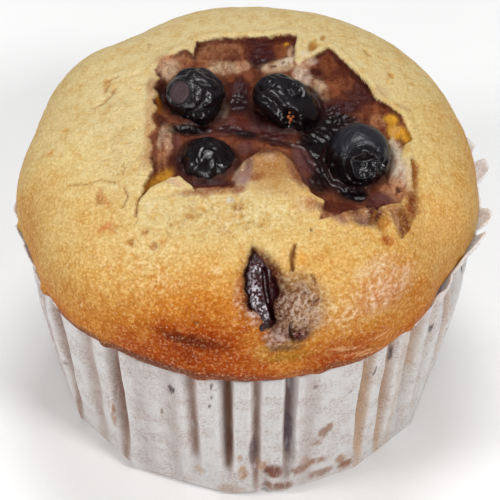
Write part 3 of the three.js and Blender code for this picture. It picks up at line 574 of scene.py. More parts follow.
def noise(points, size, seed, octaves=1):
    """Smooth noise from -1 to 1. Its features are about size across, and each octave halves them."""
    total = np.zeros(len(points))
    weight = 1.0
    whole = 0.0
    for octave in range(octaves):
        place = points / (size / 2**octave) + 17.3 * octave
        corner = np.floor(place).astype(np.int64)
        inner = place - corner
        inner = inner**3 * (inner * (inner * 6 - 15) + 10)
        value = np.zeros(len(points))
        for step in np.ndindex(2, 2, 2):
            share = np.abs(1 - np.array(step) - inner)
            x, y, z = (corner + step).T
            value += share[:, 0] * share[:, 1] * share[:, 2] * lattice(x, y, z, seed + octave)
        total += weight * (2 * value - 1)
        whole += weight
        weight *= 0.5
    return total / whole


def ridges(points, size, seed, octaves=1):
    """Noise from 0 to 1 with sharp ridges at 1."""
    return 1 - np.minimum(1, 2.2 * np.abs(noise(points, size, seed, octaves)))


def near_path(x, y, path, closed=False):
    """The distance to a path of points."""
    ends = path[1:] + path[:1] if closed else path[1:]
    best = np.full(x.shape, 1e9)
    for (ax, ay), (bx, by) in zip(path, ends):
        dx, dy = bx - ax, by - ay
        share = np.clip(((x - ax) * dx + (y - ay) * dy) / (dx * dx + dy * dy), 0, 1)
        best = np.minimum(best, np.hypot(x - ax - share * dx, y - ay - share * dy))
    return best


def inside(x, y, outline):
    """True inside a closed outline."""
    result = np.zeros(x.shape, bool)
    for (ax, ay), (bx, by) in zip(outline, outline[1:] + outline[:1]):
        if ay != by:
            crosses = ((ay > y) != (by > y)) & (x < (bx - ax) * (y - ay) / (by - ay) + ax)
            result ^= crosses
    return result


def signed_distance(x, y, outline):
    """The distance to a closed outline, positive inside it."""
    return np.where(inside(x, y, outline), 1, -1) * near_path(x, y, outline, closed=True)


def spread(x, y, samples, width):
    """A smooth field that takes the last values of the nearest (x, y, ...) samples."""
    count = len(samples[0]) - 2
    total = np.zeros((count,) + x.shape)
    weights = np.zeros(x.shape)
    for sample in samples:
        away = (x - sample[0]) ** 2 + (y - sample[1]) ** 2
        weight = np.exp(-away / (2 * width**2)) + 1e-5 / (1 + away)
        weights += weight
        for i in range(count):
            total[i] += weight * sample[2 + i]
    return total / weights


def blob(x, y, centre_x, centre_y, reach_x, reach_y, angle=0.0, soft=0.6):
    """1 in an ellipse, fading to 0 at its edge. Soft is the share of it that fades."""
    cosine, sine = math.cos(math.radians(angle)), math.sin(math.radians(angle))
    across = ((x - centre_x) * cosine + (y - centre_y) * sine) / reach_x
    along = ((y - centre_y) * cosine - (x - centre_x) * sine) / reach_y
    return 1 - ramp(np.hypot(across, along), 1 - soft, 1 + 0.3 * soft)


def cover(x, y, areas, most=1.0):
    """How far areas of (x, y, half sizes, turn, soft, strength) cover each place."""
    total = sum(strength * blob(x, y, *place) for *place, strength in areas)
    return np.clip(total, 0, most)


def laid_over(colours, colour, mask):
    """Colours with another laid over them where the mask is 1."""
    return colours + (colour - colours) * mask[:, None]


def stained(colours, x, y, stains, soft, width=1.0, gain=1.0, where=1.0):
    """Colours with stains laid over them. Each stain's first value is multiplied by the width."""
    for stain_x, stain_y, reach_x, reach_y, *angle, colour, strength in stains:
        angle = angle[0] if angle else 0
        mask = strength * blob(x, y, stain_x * width, stain_y, gain * reach_x, gain * reach_y, angle, soft)
        colours = laid_over(colours, srgb(*colour), np.minimum(gain * mask, 1) * where)
    return colours


def in_millimetres(places):
    """Front places of (bearing, arc) as (width, arc)."""
    return [(bearing * MILLIMETRES_A_DEGREE, arc) for bearing, arc in places]


# ---- Meshes and materials ----


def make_piece(name, points, faces, nodes, material, fields=(), thickness=0.0):
    """Makes a mesh from points in millimetres. It rides on the root body and stands for the CAD nodes."""
    mesh = bpy.data.meshes.new(name)
    mesh.from_pydata((points * MM).tolist(), [], faces)
    for field, values in dict(fields).items():
        if values.ndim == 2:
            attribute = mesh.attributes.new(field, "FLOAT_COLOR", "POINT")
            solid = np.ones((len(values), 1))
            attribute.data.foreach_set("color", np.hstack([values, solid]).astype(np.float32).ravel())
        else:
            attribute = mesh.attributes.new(field, "FLOAT", "POINT")
            attribute.data.foreach_set("value", values.astype(np.float32))
    mesh.shade_smooth()
    mesh.materials.append(material)
    piece = bpy.data.objects.new(name, mesh)
    bpy.context.scene.collection.objects.link(piece)
    if thickness:
        shell = piece.modifiers.new("thickness", "SOLIDIFY")
        shell.thickness = thickness * MM
        shell.offset = -1
        shell.use_even_offset = False
    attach(piece, "root")
    if nodes:
        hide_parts(*nodes)
    return piece


class Shader:
    """A material's node tree, with short calls to add nodes to it."""

    def __init__(self, name):
        self.material = bpy.data.materials.new(name)
        self.material.use_nodes = True
        self.tree = self.material.node_tree
        self.surface = self.tree.nodes["Principled BSDF"]
        self.place = self.tree.nodes.new("ShaderNodeTexCoord").outputs["Object"]

    def add(self, kind, inputs=(), **settings):
        node = self.tree.nodes.new("ShaderNode" + kind)
        for key, value in settings.items():
            setattr(node, key, value)
        self.feed(node, inputs)
        return node

    def feed(self, node, inputs):
        """Links a node's sockets to others, or sets their own values."""
        for key, value in dict(inputs).items():
            if isinstance(value, bpy.types.NodeSocket):
                self.tree.links.new(value, node.inputs[key])
            else:
                node.inputs[key].default_value = value

    def attribute(self, name, output="Fac"):
        return self.add("Attribute", attribute_name=name).outputs[output]

    def maths(self, operation, *values):
        return self.add("Math", enumerate(values), operation=operation).outputs[0]

    def times(self, first, second):
        """The product of two values."""
        return self.maths("MULTIPLY", first, second)

    def scaled(self, value, low, high, to_high, to_low=0.0):
        """Goes smoothly from to_low, where the value is low, to to_high, where it is high."""
        sockets = {"Value": value, "From Min": low, "From Max": high, "To Min": to_low, "To Max": to_high}
        return self.add("MapRange", sockets, interpolation_type="SMOOTHSTEP").outputs["Result"]

    def noise(self, size, detail=2.0, stretch=None, roughness=0.5):
        """Noise from 0 to 1 with features about size millimetres across."""
        place = self.place
        if stretch:
            place = self.add("Mapping", {"Vector": place, "Scale": stretch}).outputs["Vector"]
        sockets = {"Vector": place, "Scale": 1 / (size * MM), "Detail": detail, "Roughness": roughness}
        return self.add("TexNoise", sockets).outputs["Fac"]

    def cells(self, size):
        """The distance to the nearest of scattered points that are about size millimetres apart."""
        sockets = {"Vector": self.place, "Scale": 1 / (size * MM)}
        return self.add("TexVoronoi", sockets).outputs["Distance"]

    def mixed(self, share, first, second, blend="MIX"):
        """The first colour, going over to the second as the share goes from 0 to 1."""
        sockets = {0: share, 6: first, 7: second}
        return self.add("Mix", sockets, data_type="RGBA", blend_type=blend).outputs[2]

    def tinted(self, share, colour, factor, other=None):
        """The colour, with another or itself multiplied by a factor mixed in by the share."""
        product = self.mixed(1.0, colour if other is None else other, factor, "MULTIPLY")
        return self.mixed(share, colour, product)

    def bumps(self, *heights):
        """A normal from (height, distance in millimetres) pairs."""
        normal = None
        for height, distance in heights:
            sockets = {"Height": height, "Distance": distance * MM, "Strength": 1.0}
            if normal is not None:
                sockets["Normal"] = normal
            normal = self.add("Bump", sockets).outputs["Normal"]
        return normal


def plain(red, green, blue):
    """A colour socket's value."""
    return (*srgb(red, green, blue), 1.0)


def crust_material():
    """Baked crust, with torn crumb and juice inside the tear's edge."""
    shader = Shader("baked_crust")
    times, scaled, tinted, mixed = shader.times, shader.scaled, shader.tinted, shader.mixed
    outer = shader.attribute("outer", "Color")
    inner = shader.attribute("inner", "Color")
    wet = shader.attribute("wet")
    coarse = shader.attribute("coarse")
    browned = shader.attribute("browned")
    ragged = shader.maths("MULTIPLY_ADD", shader.noise(0.8, 3.0), 0.24, -0.12)
    torn = scaled(shader.maths("ADD", shader.attribute("edge"), ragged), -0.1, 0.1, 1.0)

    # Crust: mottled, with painted highlights as pale glints and flecks, painted shade in its hollows and
    # pores, and specks where it is coarse.
    grain = shader.noise(0.48, 4.0, roughness=0.62)
    fine = shader.noise(0.45, 4.0, roughness=0.7)
    mottle = shader.noise(1.8, 4.0)
    pores = shader.cells(1.1)
    crust = tinted(scaled(mottle, 0.46, 0.66, 0.5), outer, plain(240, 214, 168))
    crust = tinted(scaled(mottle, 0.46, 0.3, 0.7), crust, (1.06, 1.09, 1.1, 1.0), outer)
    # Painted highlights: pale glints on the raised grain, where the browned crust catches the light.
    glint = mixed(0.16, mixed(1.0, outer, (1.2, 1.42, 1.9, 1.0), "MULTIPLY"), plain(255, 206, 130))
    crust = mixed(times(scaled(grain, 0.5, 0.63, 0.95), browned), crust, glint)
    # Painted shade: darker in the low places of the same grain, its hollows.
    crust = tinted(times(scaled(grain, 0.47, 0.36, 0.7), browned), crust, plain(232, 196, 144), outer)
    # Painted shade: darker in the pores that the bump sinks.
    crust = tinted(scaled(pores, 0.14, 0.05, 0.35), crust, plain(216, 174, 120))
    crust = tinted(times(scaled(fine, 0.5, 0.38, 0.9), coarse), crust, (0.4, 0.26, 0.2, 1.0))
    pale_speck = times(scaled(fine, 0.54, 0.66, 0.8), coarse)
    crust = mixed(pale_speck, crust, mixed(0.5, crust, plain(238, 222, 208)))
    # Painted highlights: pale flecks scattered over the crust as further glints.
    glint_flecks = scaled(shader.noise(0.42, 2.0), 0.6, 0.72, 0.65)
    glint_flecks = times(glint_flecks, scaled(shader.noise(3.0, 2.0), 0.35, 0.6, 1.0, 0.3))
    crust = mixed(glint_flecks, crust, mixed(0.5, crust, plain(250, 232, 200)))

    # Crumb: strands and fine grains. Wet juice keeps its own dark colour.
    strands = shader.noise(0.9, 4.0, stretch=(1.0, 0.45, 1.0), roughness=0.65)
    crumb = tinted(scaled(strands, 0.5, 0.66, 0.7), inner, (1.3, 1.36, 1.42, 1.0))
    crumb = tinted(scaled(strands, 0.5, 0.34, 0.7), crumb, plain(186, 132, 104))
    crumb = tinted(scaled(fine, 0.56, 0.7, 0.7), crumb, (1.5, 1.65, 1.8, 1.0))
    crumb = tinted(scaled(fine, 0.46, 0.3, 0.6), crumb, plain(180, 124, 98))
    crumb = mixed(scaled(wet, 0.3, 0.9, 1.0), crumb, inner)

    # A coat makes the wet juice shine and gives the baked crust its sparkle.
    sparkle = times(scaled(grain, 0.54, 0.64, 0.4), browned)
    calm = scaled(wet, 0.3, 0.85, 0.1, 1.0)
    normal = shader.bumps(
        (times(fine, times(calm, scaled(coarse, 0.0, 1.0, 1.8, 0.8))), 0.3),
        (times(grain, calm), 0.36),
        (times(shader.maths("MINIMUM", pores, 0.22), calm), 0.34),
    )
    shader.feed(shader.surface, {
        "Base Color": mixed(torn, crust, crumb),
        "Roughness": scaled(shader.noise(0.7, 3.0), 0.3, 0.7, 0.6, 0.45),
        "Specular IOR Level": 0.05,
        "Coat Weight": shader.maths("MAXIMUM", scaled(wet, 0.45, 1.0, 0.4), sparkle),
        "Coat Roughness": 0.1,
        "Coat IOR": 1.5,
        "Coat Normal": normal,
        "Subsurface Weight": 0.04,
        "Subsurface Radius": (0.0016, 0.0009, 0.0005),
        "Subsurface Scale": 1.0,
        "Normal": normal,
    })
    return shader.material


def paper_material():
    """Thin paper that lets light through, with fibres, faint patches, streaks and specks."""
    shader = Shader("greaseproof_paper")
    scaled, tinted, mixed = shader.scaled, shader.tinted, shader.mixed
    fibres = shader.noise(0.36, 4.0, roughness=0.7)
    patches = shader.noise(3.2, 4.0)
    streaks = shader.noise(0.8, 3.0, stretch=(1.0, 1.0, 0.22))
    spots = shader.times(scaled(fibres, 0.56, 0.36, 1.0), scaled(patches, 0.4, 0.6, 0.9, 0.35))
    paper = tinted(spots, shader.attribute("tint", "Color"), plain(212, 196, 188))
    paper = tinted(scaled(patches, 0.42, 0.66, 0.35), paper, plain(232, 216, 206))
    paper = mixed(scaled(streaks, 0.55, 0.75, 0.3), paper, plain(238, 234, 234))
    paper = mixed(scaled(shader.cells(1.4), 0.09, 0.03, 0.55), paper, plain(150, 120, 100))
    shader.feed(shader.surface, {
        "Base Color": paper,
        "Roughness": scaled(fibres, 0.3, 0.7, 0.72, 0.5),
        "Specular IOR Level": 0.4,
        "Subsurface Weight": 0.85,
        "Subsurface Radius": (0.0012, 0.0011, 0.0011),
        "Subsurface Scale": 1.0,
        "Normal": shader.bumps((fibres, 0.05), (streaks, 0.08)),
    })
    return shader.material


def berry_material(name, dark, rough):
    """Berry skin: near black, with a dull bloom where the bloom field says."""
    shader = Shader(name)
    bloom = shader.attribute("bloom")
    cloud = shader.noise(1.4, 4.0)
    fine = shader.noise(0.35, 4.0, roughness=0.6)
    skin = shader.mixed(shader.scaled(cloud, 0.4, 0.7, 0.5), dark, plain(26, 16, 20))
    dusty = shader.times(bloom, shader.scaled(fine, 0.25, 0.7, 1.0, 0.55))
    gloss = shader.scaled(cloud, 0.3, 0.7, rough + 0.12, rough)
    shader.feed(shader.surface, {
        "Base Color": shader.mixed(dusty, skin, shader.attribute("tint", "Color")),
        "Roughness": shader.maths("ADD", gloss, shader.times(bloom, 0.4)),
        "Specular IOR Level": 0.4,
        "Normal": shader.bumps((fine, 0.03), (cloud, 0.16)),
    })
    return shader.material


# ---- The crown's surface ----


def dome_height(radius):
    """The height of the smooth dome at a distance from its middle."""
    share = np.minimum(radius / CROWN_RADIUS, 1)
    return WIDEST_HEIGHT + DOME_HEIGHT * (1 - share**SQUARENESS) ** (1 / SQUARENESS)


def crown_swell(bearing):
    """How much wider than a circle the crown is at a bearing, as a factor."""
    bulge = np.zeros(np.shape(bearing))
    for middle, size, width in CROWN_BULGES:
        bulge = bulge + size * bump(turn(bearing, middle), width)
    return 1 + bulge / CROWN_RADIUS


def crown_profile():
    """Arc, radius, height and outward slope from the top down over the dome, the lip and its underside."""
    share = np.linspace(0, math.pi / 2, 4000)
    radius = CROWN_RADIUS * np.sin(share) ** (2 / SQUARENESS)
    height = dome_height(radius)
    angle = np.radians(np.linspace(0, LIP_END, 200))[1:]
    radius = np.concatenate([radius, CROWN_RADIUS - LIP_RADIUS * (1 - np.cos(angle))])
    height = np.concatenate([height, WIDEST_HEIGHT - LIP_RADIUS * np.sin(angle)])
    arc = np.concatenate([[0], np.cumsum(np.hypot(np.diff(radius), np.diff(height)))])
    return arc, radius, height, arc[3999]


ARC, ARC_RADIUS, ARC_HEIGHT, DOME_ARC = crown_profile()


def crown_point(bearing, arc):
    """Points and outward directions on the smooth crown."""
    step = 0.25
    radius = np.interp(arc, ARC, ARC_RADIUS)
    height = np.interp(arc, ARC, ARC_HEIGHT)
    radial = np.interp(arc + step, ARC, ARC_RADIUS) - np.interp(arc - step, ARC, ARC_RADIUS)
    fall = np.interp(arc + step, ARC, ARC_HEIGHT) - np.interp(arc - step, ARC, ARC_HEIGHT)
    length = np.hypot(radial, fall)
    sine, cosine = np.sin(np.radians(bearing)), np.cos(np.radians(bearing))
    swollen = radius * crown_swell(bearing)
    points = np.stack([swollen * sine, -swollen * cosine, height], axis=1)
    outward = -fall / length
    directions = np.stack([outward * sine, -outward * cosine, radial / length], axis=1)
    return points, directions


def graded(fine_from, fine_to):
    """Places from edge to edge of the dome, as shares of its arc, close together in the fine stretch."""
    parts = [
        np.linspace(-DOME_ARC, fine_from, round((fine_from + DOME_ARC) / NET_COARSE) + 1)[:-1],
        np.linspace(fine_from, fine_to, round((fine_to - fine_from) / NET_FINE) + 1)[:-1],
        np.linspace(fine_to, DOME_ARC, round((DOME_ARC - fine_to) / NET_COARSE) + 1),
    ]
    return np.concatenate(parts) / DOME_ARC


def crown_grid():
    """Bearing and arc of each vertex of a square net drawn out to a disc, its faces and its border."""
    across = graded(*NET_FINE_ACROSS)
    along = graded(*NET_FINE_ALONG)
    u, v = np.meshgrid(across, along)
    x = u * np.sqrt(1 - v * v / 2)
    y = v * np.sqrt(1 - u * u / 2)
    arc = np.minimum(np.hypot(x, y), 1.0).ravel() * DOME_ARC
    bearing = np.degrees(np.arctan2(x, -y)).ravel()
    columns, rows = len(across), len(along)
    index = np.arange(rows * columns).reshape(rows, columns)
    corners = [index[:-1, :-1], index[:-1, 1:], index[1:, 1:], index[1:, :-1]]
    faces = np.stack([c.ravel() for c in corners], axis=1).tolist()
    border = np.concatenate([index[0, :-1], index[:-1, -1], index[-1, :0:-1], index[:0:-1, 0]])
    return bearing, arc, faces, border


def tear_offsets(x, y):
    """How far the torn surface lies under the dome, the signed distance inside the tear's outline, and
    how wide the drop at its edge is."""
    flat = np.stack([x, y, np.zeros(len(x))], axis=1)
    wobble_x = 0.22 * noise(flat, 1.3, 11, 2)
    wobble_y = 0.22 * noise(flat, 1.3, 12, 2)
    edge = signed_distance(x + wobble_x, y + wobble_y, TEAR)
    step, width = spread(x, y, TEAR_EDGES, 1.8)
    floor = spread(x, y, TEAR_FLOOR, 2.2)[0]
    drop = ramp(edge, -0.25 * width, 0.75 * width)
    settle = 1 - np.exp(-np.maximum(edge, 0) / 2.6)
    depth = drop * (step + np.maximum(floor - step, 0) * settle)
    return depth, edge, width


def berry_clearance(x, y):
    """The distance outside the nearest berry in plan, negative under it."""
    best = np.full(x.shape, 99.0)
    for centre, sizes in BERRIES.values():
        share = np.hypot((x - centre[0]) / sizes[0], (y - centre[1]) / sizes[1])
        best = np.minimum(best, (share - 1) * 0.5 * (sizes[0] + sizes[1]))
    return best


def crack_offsets(x, y):
    """How deep the cracks and pits in the crust are."""
    depth = np.zeros(x.shape)
    for path, width, sink in CRACKS:
        depth += sink * (1 - ramp(near_path(x, y, path), 0.25 * width, width))
    for *place, sink in PITS:
        depth += sink * blob(x, y, *place, 0.8)
    return depth


def shade_of(levels, value):
    """A colour read off a list of (value, colour) steps."""
    steps = [level for level, _ in levels]
    shades = np.array([srgb(*colour) for _, colour in levels])
    return np.stack([np.interp(value, steps, shades[:, i]) for i in range(3)], axis=1)


def browning(points):
    """How brown the crust is at each point, from the nearest of the places in BROWNING."""
    bearings, arcs, values = np.array(BROWNING, float).T
    places, _ = crown_point(bearings, arcs)
    total = np.zeros(len(points))
    weights = np.zeros(len(points))
    for place, value in zip(places, values):
        away = ((points - place) ** 2).sum(axis=1)
        weight = np.exp(-away / (2 * 3.2**2)) + 1e-6 / (1 + away)
        total += weight * value
        weights += weight
    return total / weights


def lip_nubs(bearing, arc):
    """Small drips of batter that baked on the crown's lip."""
    lift = np.zeros(len(arc))
    for middle, nub_arc, reach, height in LIP_NUBS:
        across = turn(bearing, middle) * 1.1 * MILLIMETRES_A_DEGREE
        lift += height * np.exp(-((across / reach) ** 2 + ((arc - nub_arc) / (1.3 * reach)) ** 2) ** 1.5)
    return lift


def burst_offsets(bearing, arc, points):
    """How deep the hole round the burst berry is, and the signed distance inside its outline."""
    across = turn(bearing, 0) * MILLIMETRES_A_DEGREE
    near = (np.abs(across) < BURST_REACH) & (arc > BURST_ARCS[0]) & (arc < BURST_ARCS[1])
    depth = np.zeros(len(arc))
    edge = np.full(len(arc), -99.0)
    x, y = across[near], arc[near]
    wobble = 0.55 * noise(points[near], 1.1, 31, 3)
    edge[near] = signed_distance(x, y, in_millimetres(BURST_HOLE)) + wobble
    depth[near] = 1.9 * ramp(edge[near], -0.3, 1.0)
    for path, width, sink in BURST_SLITS:
        away = near_path(x, y, in_millimetres(path))
        depth[near] += sink * (1 - ramp(away, 0.2 * width, width))
    for middle, lump_arc, reach_x, reach_y, lift in BURST_LUMPS:
        lump = blob(x, y, middle * MILLIMETRES_A_DEGREE, lump_arc, reach_x, reach_y, 0, 0.9)
        depth[near] -= lift * lump
    return depth, edge


# ---- The cake ----


def lay_out_crown():
    """The crown's vertices on the smooth dome and lip, and what each of them lies on."""
    bearing, arc, faces, border = crown_grid()
    count = len(border)
    rows = [border] + [len(arc) + i * count + np.arange(count) for i in range(LIP_ROWS)]
    lip_arcs = np.linspace(DOME_ARC, ARC[-1], LIP_ROWS + 1)[1:]
    bearing = np.concatenate([bearing, np.tile(bearing[border], LIP_ROWS)])
    arc = np.concatenate([arc, np.repeat(lip_arcs, count)])
    smooth, outward = crown_point(bearing, arc)
    x, y = smooth[:, 0], smooth[:, 1]
    upper = arc <= TEAR_REACH
    depth, edge, edge_width = tear_offsets(x, y)
    edge = np.where(upper, edge, -99)
    torn = ramp(edge, 0.0, 0.8)
    burst_depth, burst_edge = burst_offsets(bearing, arc, smooth)
    return SimpleNamespace(
        bearing=bearing, arc=arc, faces=faces, rows=rows, smooth=smooth, outward=outward, x=x, y=y,
        upper=upper, edge=edge, edge_width=edge_width, torn=torn, burst_edge=burst_edge,
        depth=np.where(upper, depth, 0) + crack_offsets(x, y) * upper + burst_depth,
        juicy=cover(x, y, JUICY_AREAS) * torn,
        crumbly=cover(x, y, CRUMBLY_AREAS) * (1 - torn) * upper,
        berry_gap=berry_clearance(x, y),
    )


def shape_crown(crown):
    """The vertices of the uneven, cracked and torn crown."""
    p = crown.smooth
    lift = sum(height * noise(p, size, seed, octaves) for height, size, seed, octaves in CRUST_RELIEF)
    lift *= 1 - ramp(crown.arc, ARC[-1] - 2, ARC[-1])
    lift += crown.torn * (1 - crown.juicy) * 0.36 * (ridges(p, 1.3, 5, 3) - 0.5)
    lift += crown.crumbly * (0.15 * noise(p, 1.1, 10, 3) - 0.55 * ramp(noise(p, 1.4, 9, 3), 0.18, 0.4))
    tongue = near_path(crown.x, crown.y, JUICE_TONGUE)
    wrinkle = np.sin(2 * math.pi * (tongue / 1.1 + 0.9 * noise(p, 2.2, 7, 2)))
    lift += crown.juicy * (0.09 * wrinkle + 0.16 * noise(p, 0.9, 8, 2))
    lift -= crown.depth
    # The crust curls up a little round the tear.
    lift += 0.22 * np.exp(-((crown.edge + 0.7) ** 2) / 0.5) * (crown.edge < 0) * crown.upper
    # The juice and crumb close up against the berries.
    lift += crown.torn * 0.5 * np.exp(-((np.maximum(crown.berry_gap, 0) / 0.5) ** 2))
    lift += lip_nubs(crown.bearing, crown.arc)
    # The lip swells at the front, where it overhangs the paper.
    lift += 0.32 * bump(turn(crown.bearing, 0), 52) * bump(crown.arc - 48.5, 3.5)
    return crown.smooth + crown.outward * lift[:, None]


def painted_places(crown, points):
    """Where each vertex takes its colours from, as points in plan."""
    seen_y = points[:, 1]
    for _ in range(3):
        fall = dome_height(np.hypot(points[:, 0], seen_y)) - points[:, 2]
        seen_y = points[:, 1] - PAINT_SLANT * fall
    seen_y = np.where(crown.upper, seen_y, crown.y)
    return np.stack([crown.x, seen_y, np.zeros(len(points))], axis=1)


def crust_colours(crown, look_x, look_y, across, down):
    """The colours of the crust, and how well it is baked."""
    p = crown.smooth
    bake = browning(p) + 0.07 * noise(p, 3.0, 23, 3) + 0.05 * noise(p, 0.9, 24, 2)
    outer = shade_of(BROWNING_COLOURS, np.clip(bake, 0, 1))
    outer = stained(outer, look_x, look_y, CRUST_STAINS, 0.7, where=crown.upper)
    cracked = ramp(crack_offsets(crown.x, crown.y), 0.08, 0.5) * crown.upper
    outer = laid_over(outer, srgb(*CRACK_COLOUR), 0.75 * cracked)
    front = np.abs(turn(crown.bearing, 0)) < FRONT_STAINS_TO
    outer = stained(outer, across, down, FRONT_STAINS_AND_PAINTED_LIGHT, 0.75, MILLIMETRES_A_DEGREE, where=front)

    grains = noise(p, 0.48, 28, 2)
    for middle, arc, reach_x, reach_y, strength, dark, pale in MOTTLED:
        mask = strength * blob(across, down, middle * MILLIMETRES_A_DEGREE, arc, reach_x, reach_y, 0, 0.9)
        mask *= front
        outer = laid_over(outer, srgb(*dark), mask * ramp(-grains, 0.05, 0.35))
        outer = laid_over(outer, srgb(*pale), mask * ramp(grains, 0.05, 0.3))

    # Juice has soaked into the crust round the burst berry, furthest on its right.
    soak_width = 0.5 + 0.7 * ramp(turn(crown.bearing, 0), 2, 8)
    halo = np.exp(-((np.maximum(-crown.burst_edge, 0) / soak_width) ** 2)) * (crown.arc > 20)
    return laid_over(outer, srgb(*SOAKED_CRUST), 0.85 * halo), bake


def torn_colours(crown, places, look_x, look_y):
    """The colours of the torn crumb and juice, and how wet they are."""
    inner = np.tile(srgb(*TORN_BASE), (len(look_x), 1))
    wet = np.full(len(look_x), TORN_BASE_WETNESS)
    for x, y, reach_x, reach_y, angle, name, strength in TORN_COLOURS:
        mask = strength * blob(look_x, look_y, x, y, 1.06 * reach_x, 1.06 * reach_y, angle, 0.45)
        colour, wetness = TORN_PALETTE[name]
        inner = laid_over(inner, srgb(*colour), mask)
        wet += (wetness - wet) * mask
    streaks = noise(places * [1.0, 0.3, 1.0], 0.5, 27, 2)
    inner = inner * (1 + 0.22 * streaks * (1 - wet))[:, None]

    # Dry crumb has soaked patches where it is dark, and pale ones where it is light.
    soaked = noise(places * [1.0, 0.5, 1.0], 1.7, 29, 3)
    dry = 1 - ramp(wet, 0.5, 0.9)
    paleness = ramp(inner[:, 1], 0.08, 0.32)
    inner = laid_over(inner, srgb(*SOAKED_CRUMB), 0.6 * dry * (1 - paleness) * ramp(soaked, 0.08, 0.42))
    inner = laid_over(inner, srgb(*PALE_CRUMB), 0.4 * dry * paleness * ramp(-soaked, 0.15, 0.5))

    # A dark wet ring lies round each berry, juice with painted contact shadow, and a line of painted shade
    # lies just inside the crisp edges at the back.
    ring = np.exp(-((np.maximum(crown.berry_gap - 0.1, 0) / 0.75) ** 2))
    inner = laid_over(inner, srgb(*BERRY_JUICE_AND_SHADOW), 0.85 * ring)
    wet = wet + (BERRY_RING_WETNESS - wet) * 0.8 * ring
    crisp = 1 - ramp(crown.edge_width, 0.4, 0.7)
    line = np.exp(-(((crown.edge - 0.2) / 0.22) ** 2)) * (crown.y > 2)
    inner = laid_over(inner, srgb(*EDGE_SHADE_LINE), 0.7 * crisp * line)

    # The hole of the burst berry is dark and wet too.
    hole = (crown.arc > 24) & (crown.burst_edge > -1)
    inner = np.where(hole[:, None], srgb(*BURST_HOLE_COLOUR), inner)
    return inner, np.where(hole, BURST_HOLE_WETNESS, wet)


def crown_fields(crown, points):
    """The values that the crust's material reads."""
    places = painted_places(crown, points)
    look_x = crown.x + 0.35 * noise(places, 1.6, 21, 3)
    look_y = places[:, 1] + 0.35 * noise(places, 1.6, 22, 3)
    across = turn(crown.bearing, 0) * MILLIMETRES_A_DEGREE + 0.35 * noise(crown.smooth, 1.3, 25, 2)
    down = crown.arc + 0.35 * noise(crown.smooth, 1.3, 26, 2)
    outer, bake = crust_colours(crown, look_x, look_y, across, down)
    inner, wet = torn_colours(crown, places, look_x, look_y)
    crispness = np.where(crown.upper, 0.35 / np.maximum(crown.edge_width, 0.35), 1)
    edge = np.maximum(crown.edge, crown.burst_edge)
    speckled = cover(across, down, SPECKLED_AREAS) * (crown.burst_edge < 0)
    return {
        "outer": outer,
        "inner": inner,
        "edge": np.clip(edge * crispness, -2, 5),
        "browned": np.clip(0.25 + 1.5 * bake, 0, 1),
        "wet": np.clip(wet, 0, 1) * ramp(edge, -0.4, 0.4),
        "coarse": crown.torn * (1 - crown.juicy) + 0.3 * crown.crumbly + speckled,
    }


def make_cake():
    crown = lay_out_crown()
    points = shape_crown(crown)
    fields = crown_fields(crown, points)

    # The body hangs from the lip's last row.
    rows = crown.rows
    count = len(rows[0])
    angle = np.radians(crown.bearing[rows[0]])
    body = []
    for height, outset in BODY_RINGS:
        radius = BASE_RADIUS + TUCKED_FLARE * max(height - CORNER_RADIUS, 0) + outset
        ring = np.stack([radius * np.sin(angle), -radius * np.cos(angle), np.full(count, height)], axis=1)
        rows.append(len(points) + len(body) * count + np.arange(count))
        body.append(ring)
    body.append(np.array([[0.0, 0.0, BODY_BOTTOM]]))
    faces = crown.faces
    for above, below in zip(rows, rows[1:]):
        faces += np.stack([above, below, np.roll(below, -1), np.roll(above, -1)], axis=1).tolist()
    centre = len(points) + len(BODY_RINGS) * count
    faces += np.stack([rows[-1], np.full(count, centre), np.roll(rows[-1], -1)], axis=1).tolist()
    hidden = np.concatenate(body)
    points = np.concatenate([points, hidden])
    for name, values in fields.items():
        fields[name] = np.concatenate([values, np.repeat(values[-1:], len(hidden), axis=0)])
    return make_piece("cake_crust", points, faces, ["cake"], crust_material(), fields)


# ---- Berries ----


def ball(level):
    """A ball of even triangles: directions and faces."""
    shape = bmesh.new()
    bmesh.ops.create_icosphere(shape, subdivisions=level, radius=1.0)
    directions = np.array([vertex.co[:] for vertex in shape.verts])
    faces = [[vertex.index for vertex in face.verts] for face in shape.faces]
    shape.free()
    directions /= np.linalg.norm(directions, axis=1)[:, None]
    return directions, faces


def angle_from(directions, towards):
    """The angle in radians between each direction and another."""
    towards = np.array(towards, float)
    towards = towards / np.linalg.norm(towards)
    return np.arccos(np.clip(directions @ towards, -1, 1))


def peak(angle, width):
    """1 at an angle of 0, falling off over the width."""
    return np.exp(-((angle / width) ** 2))


def make_berry(name, shape, material):
    directions, faces = ball(BERRY_LEVEL)
    centre, sizes = BERRIES[name]
    radius, bloom, tint = shape(directions)
    points = directions * np.array(sizes) * radius[:, None] + np.array(centre)
    fields = {"bloom": bloom, "tint": tint}
    return make_piece(name + "_skin", points, faces, [name], material, fields)


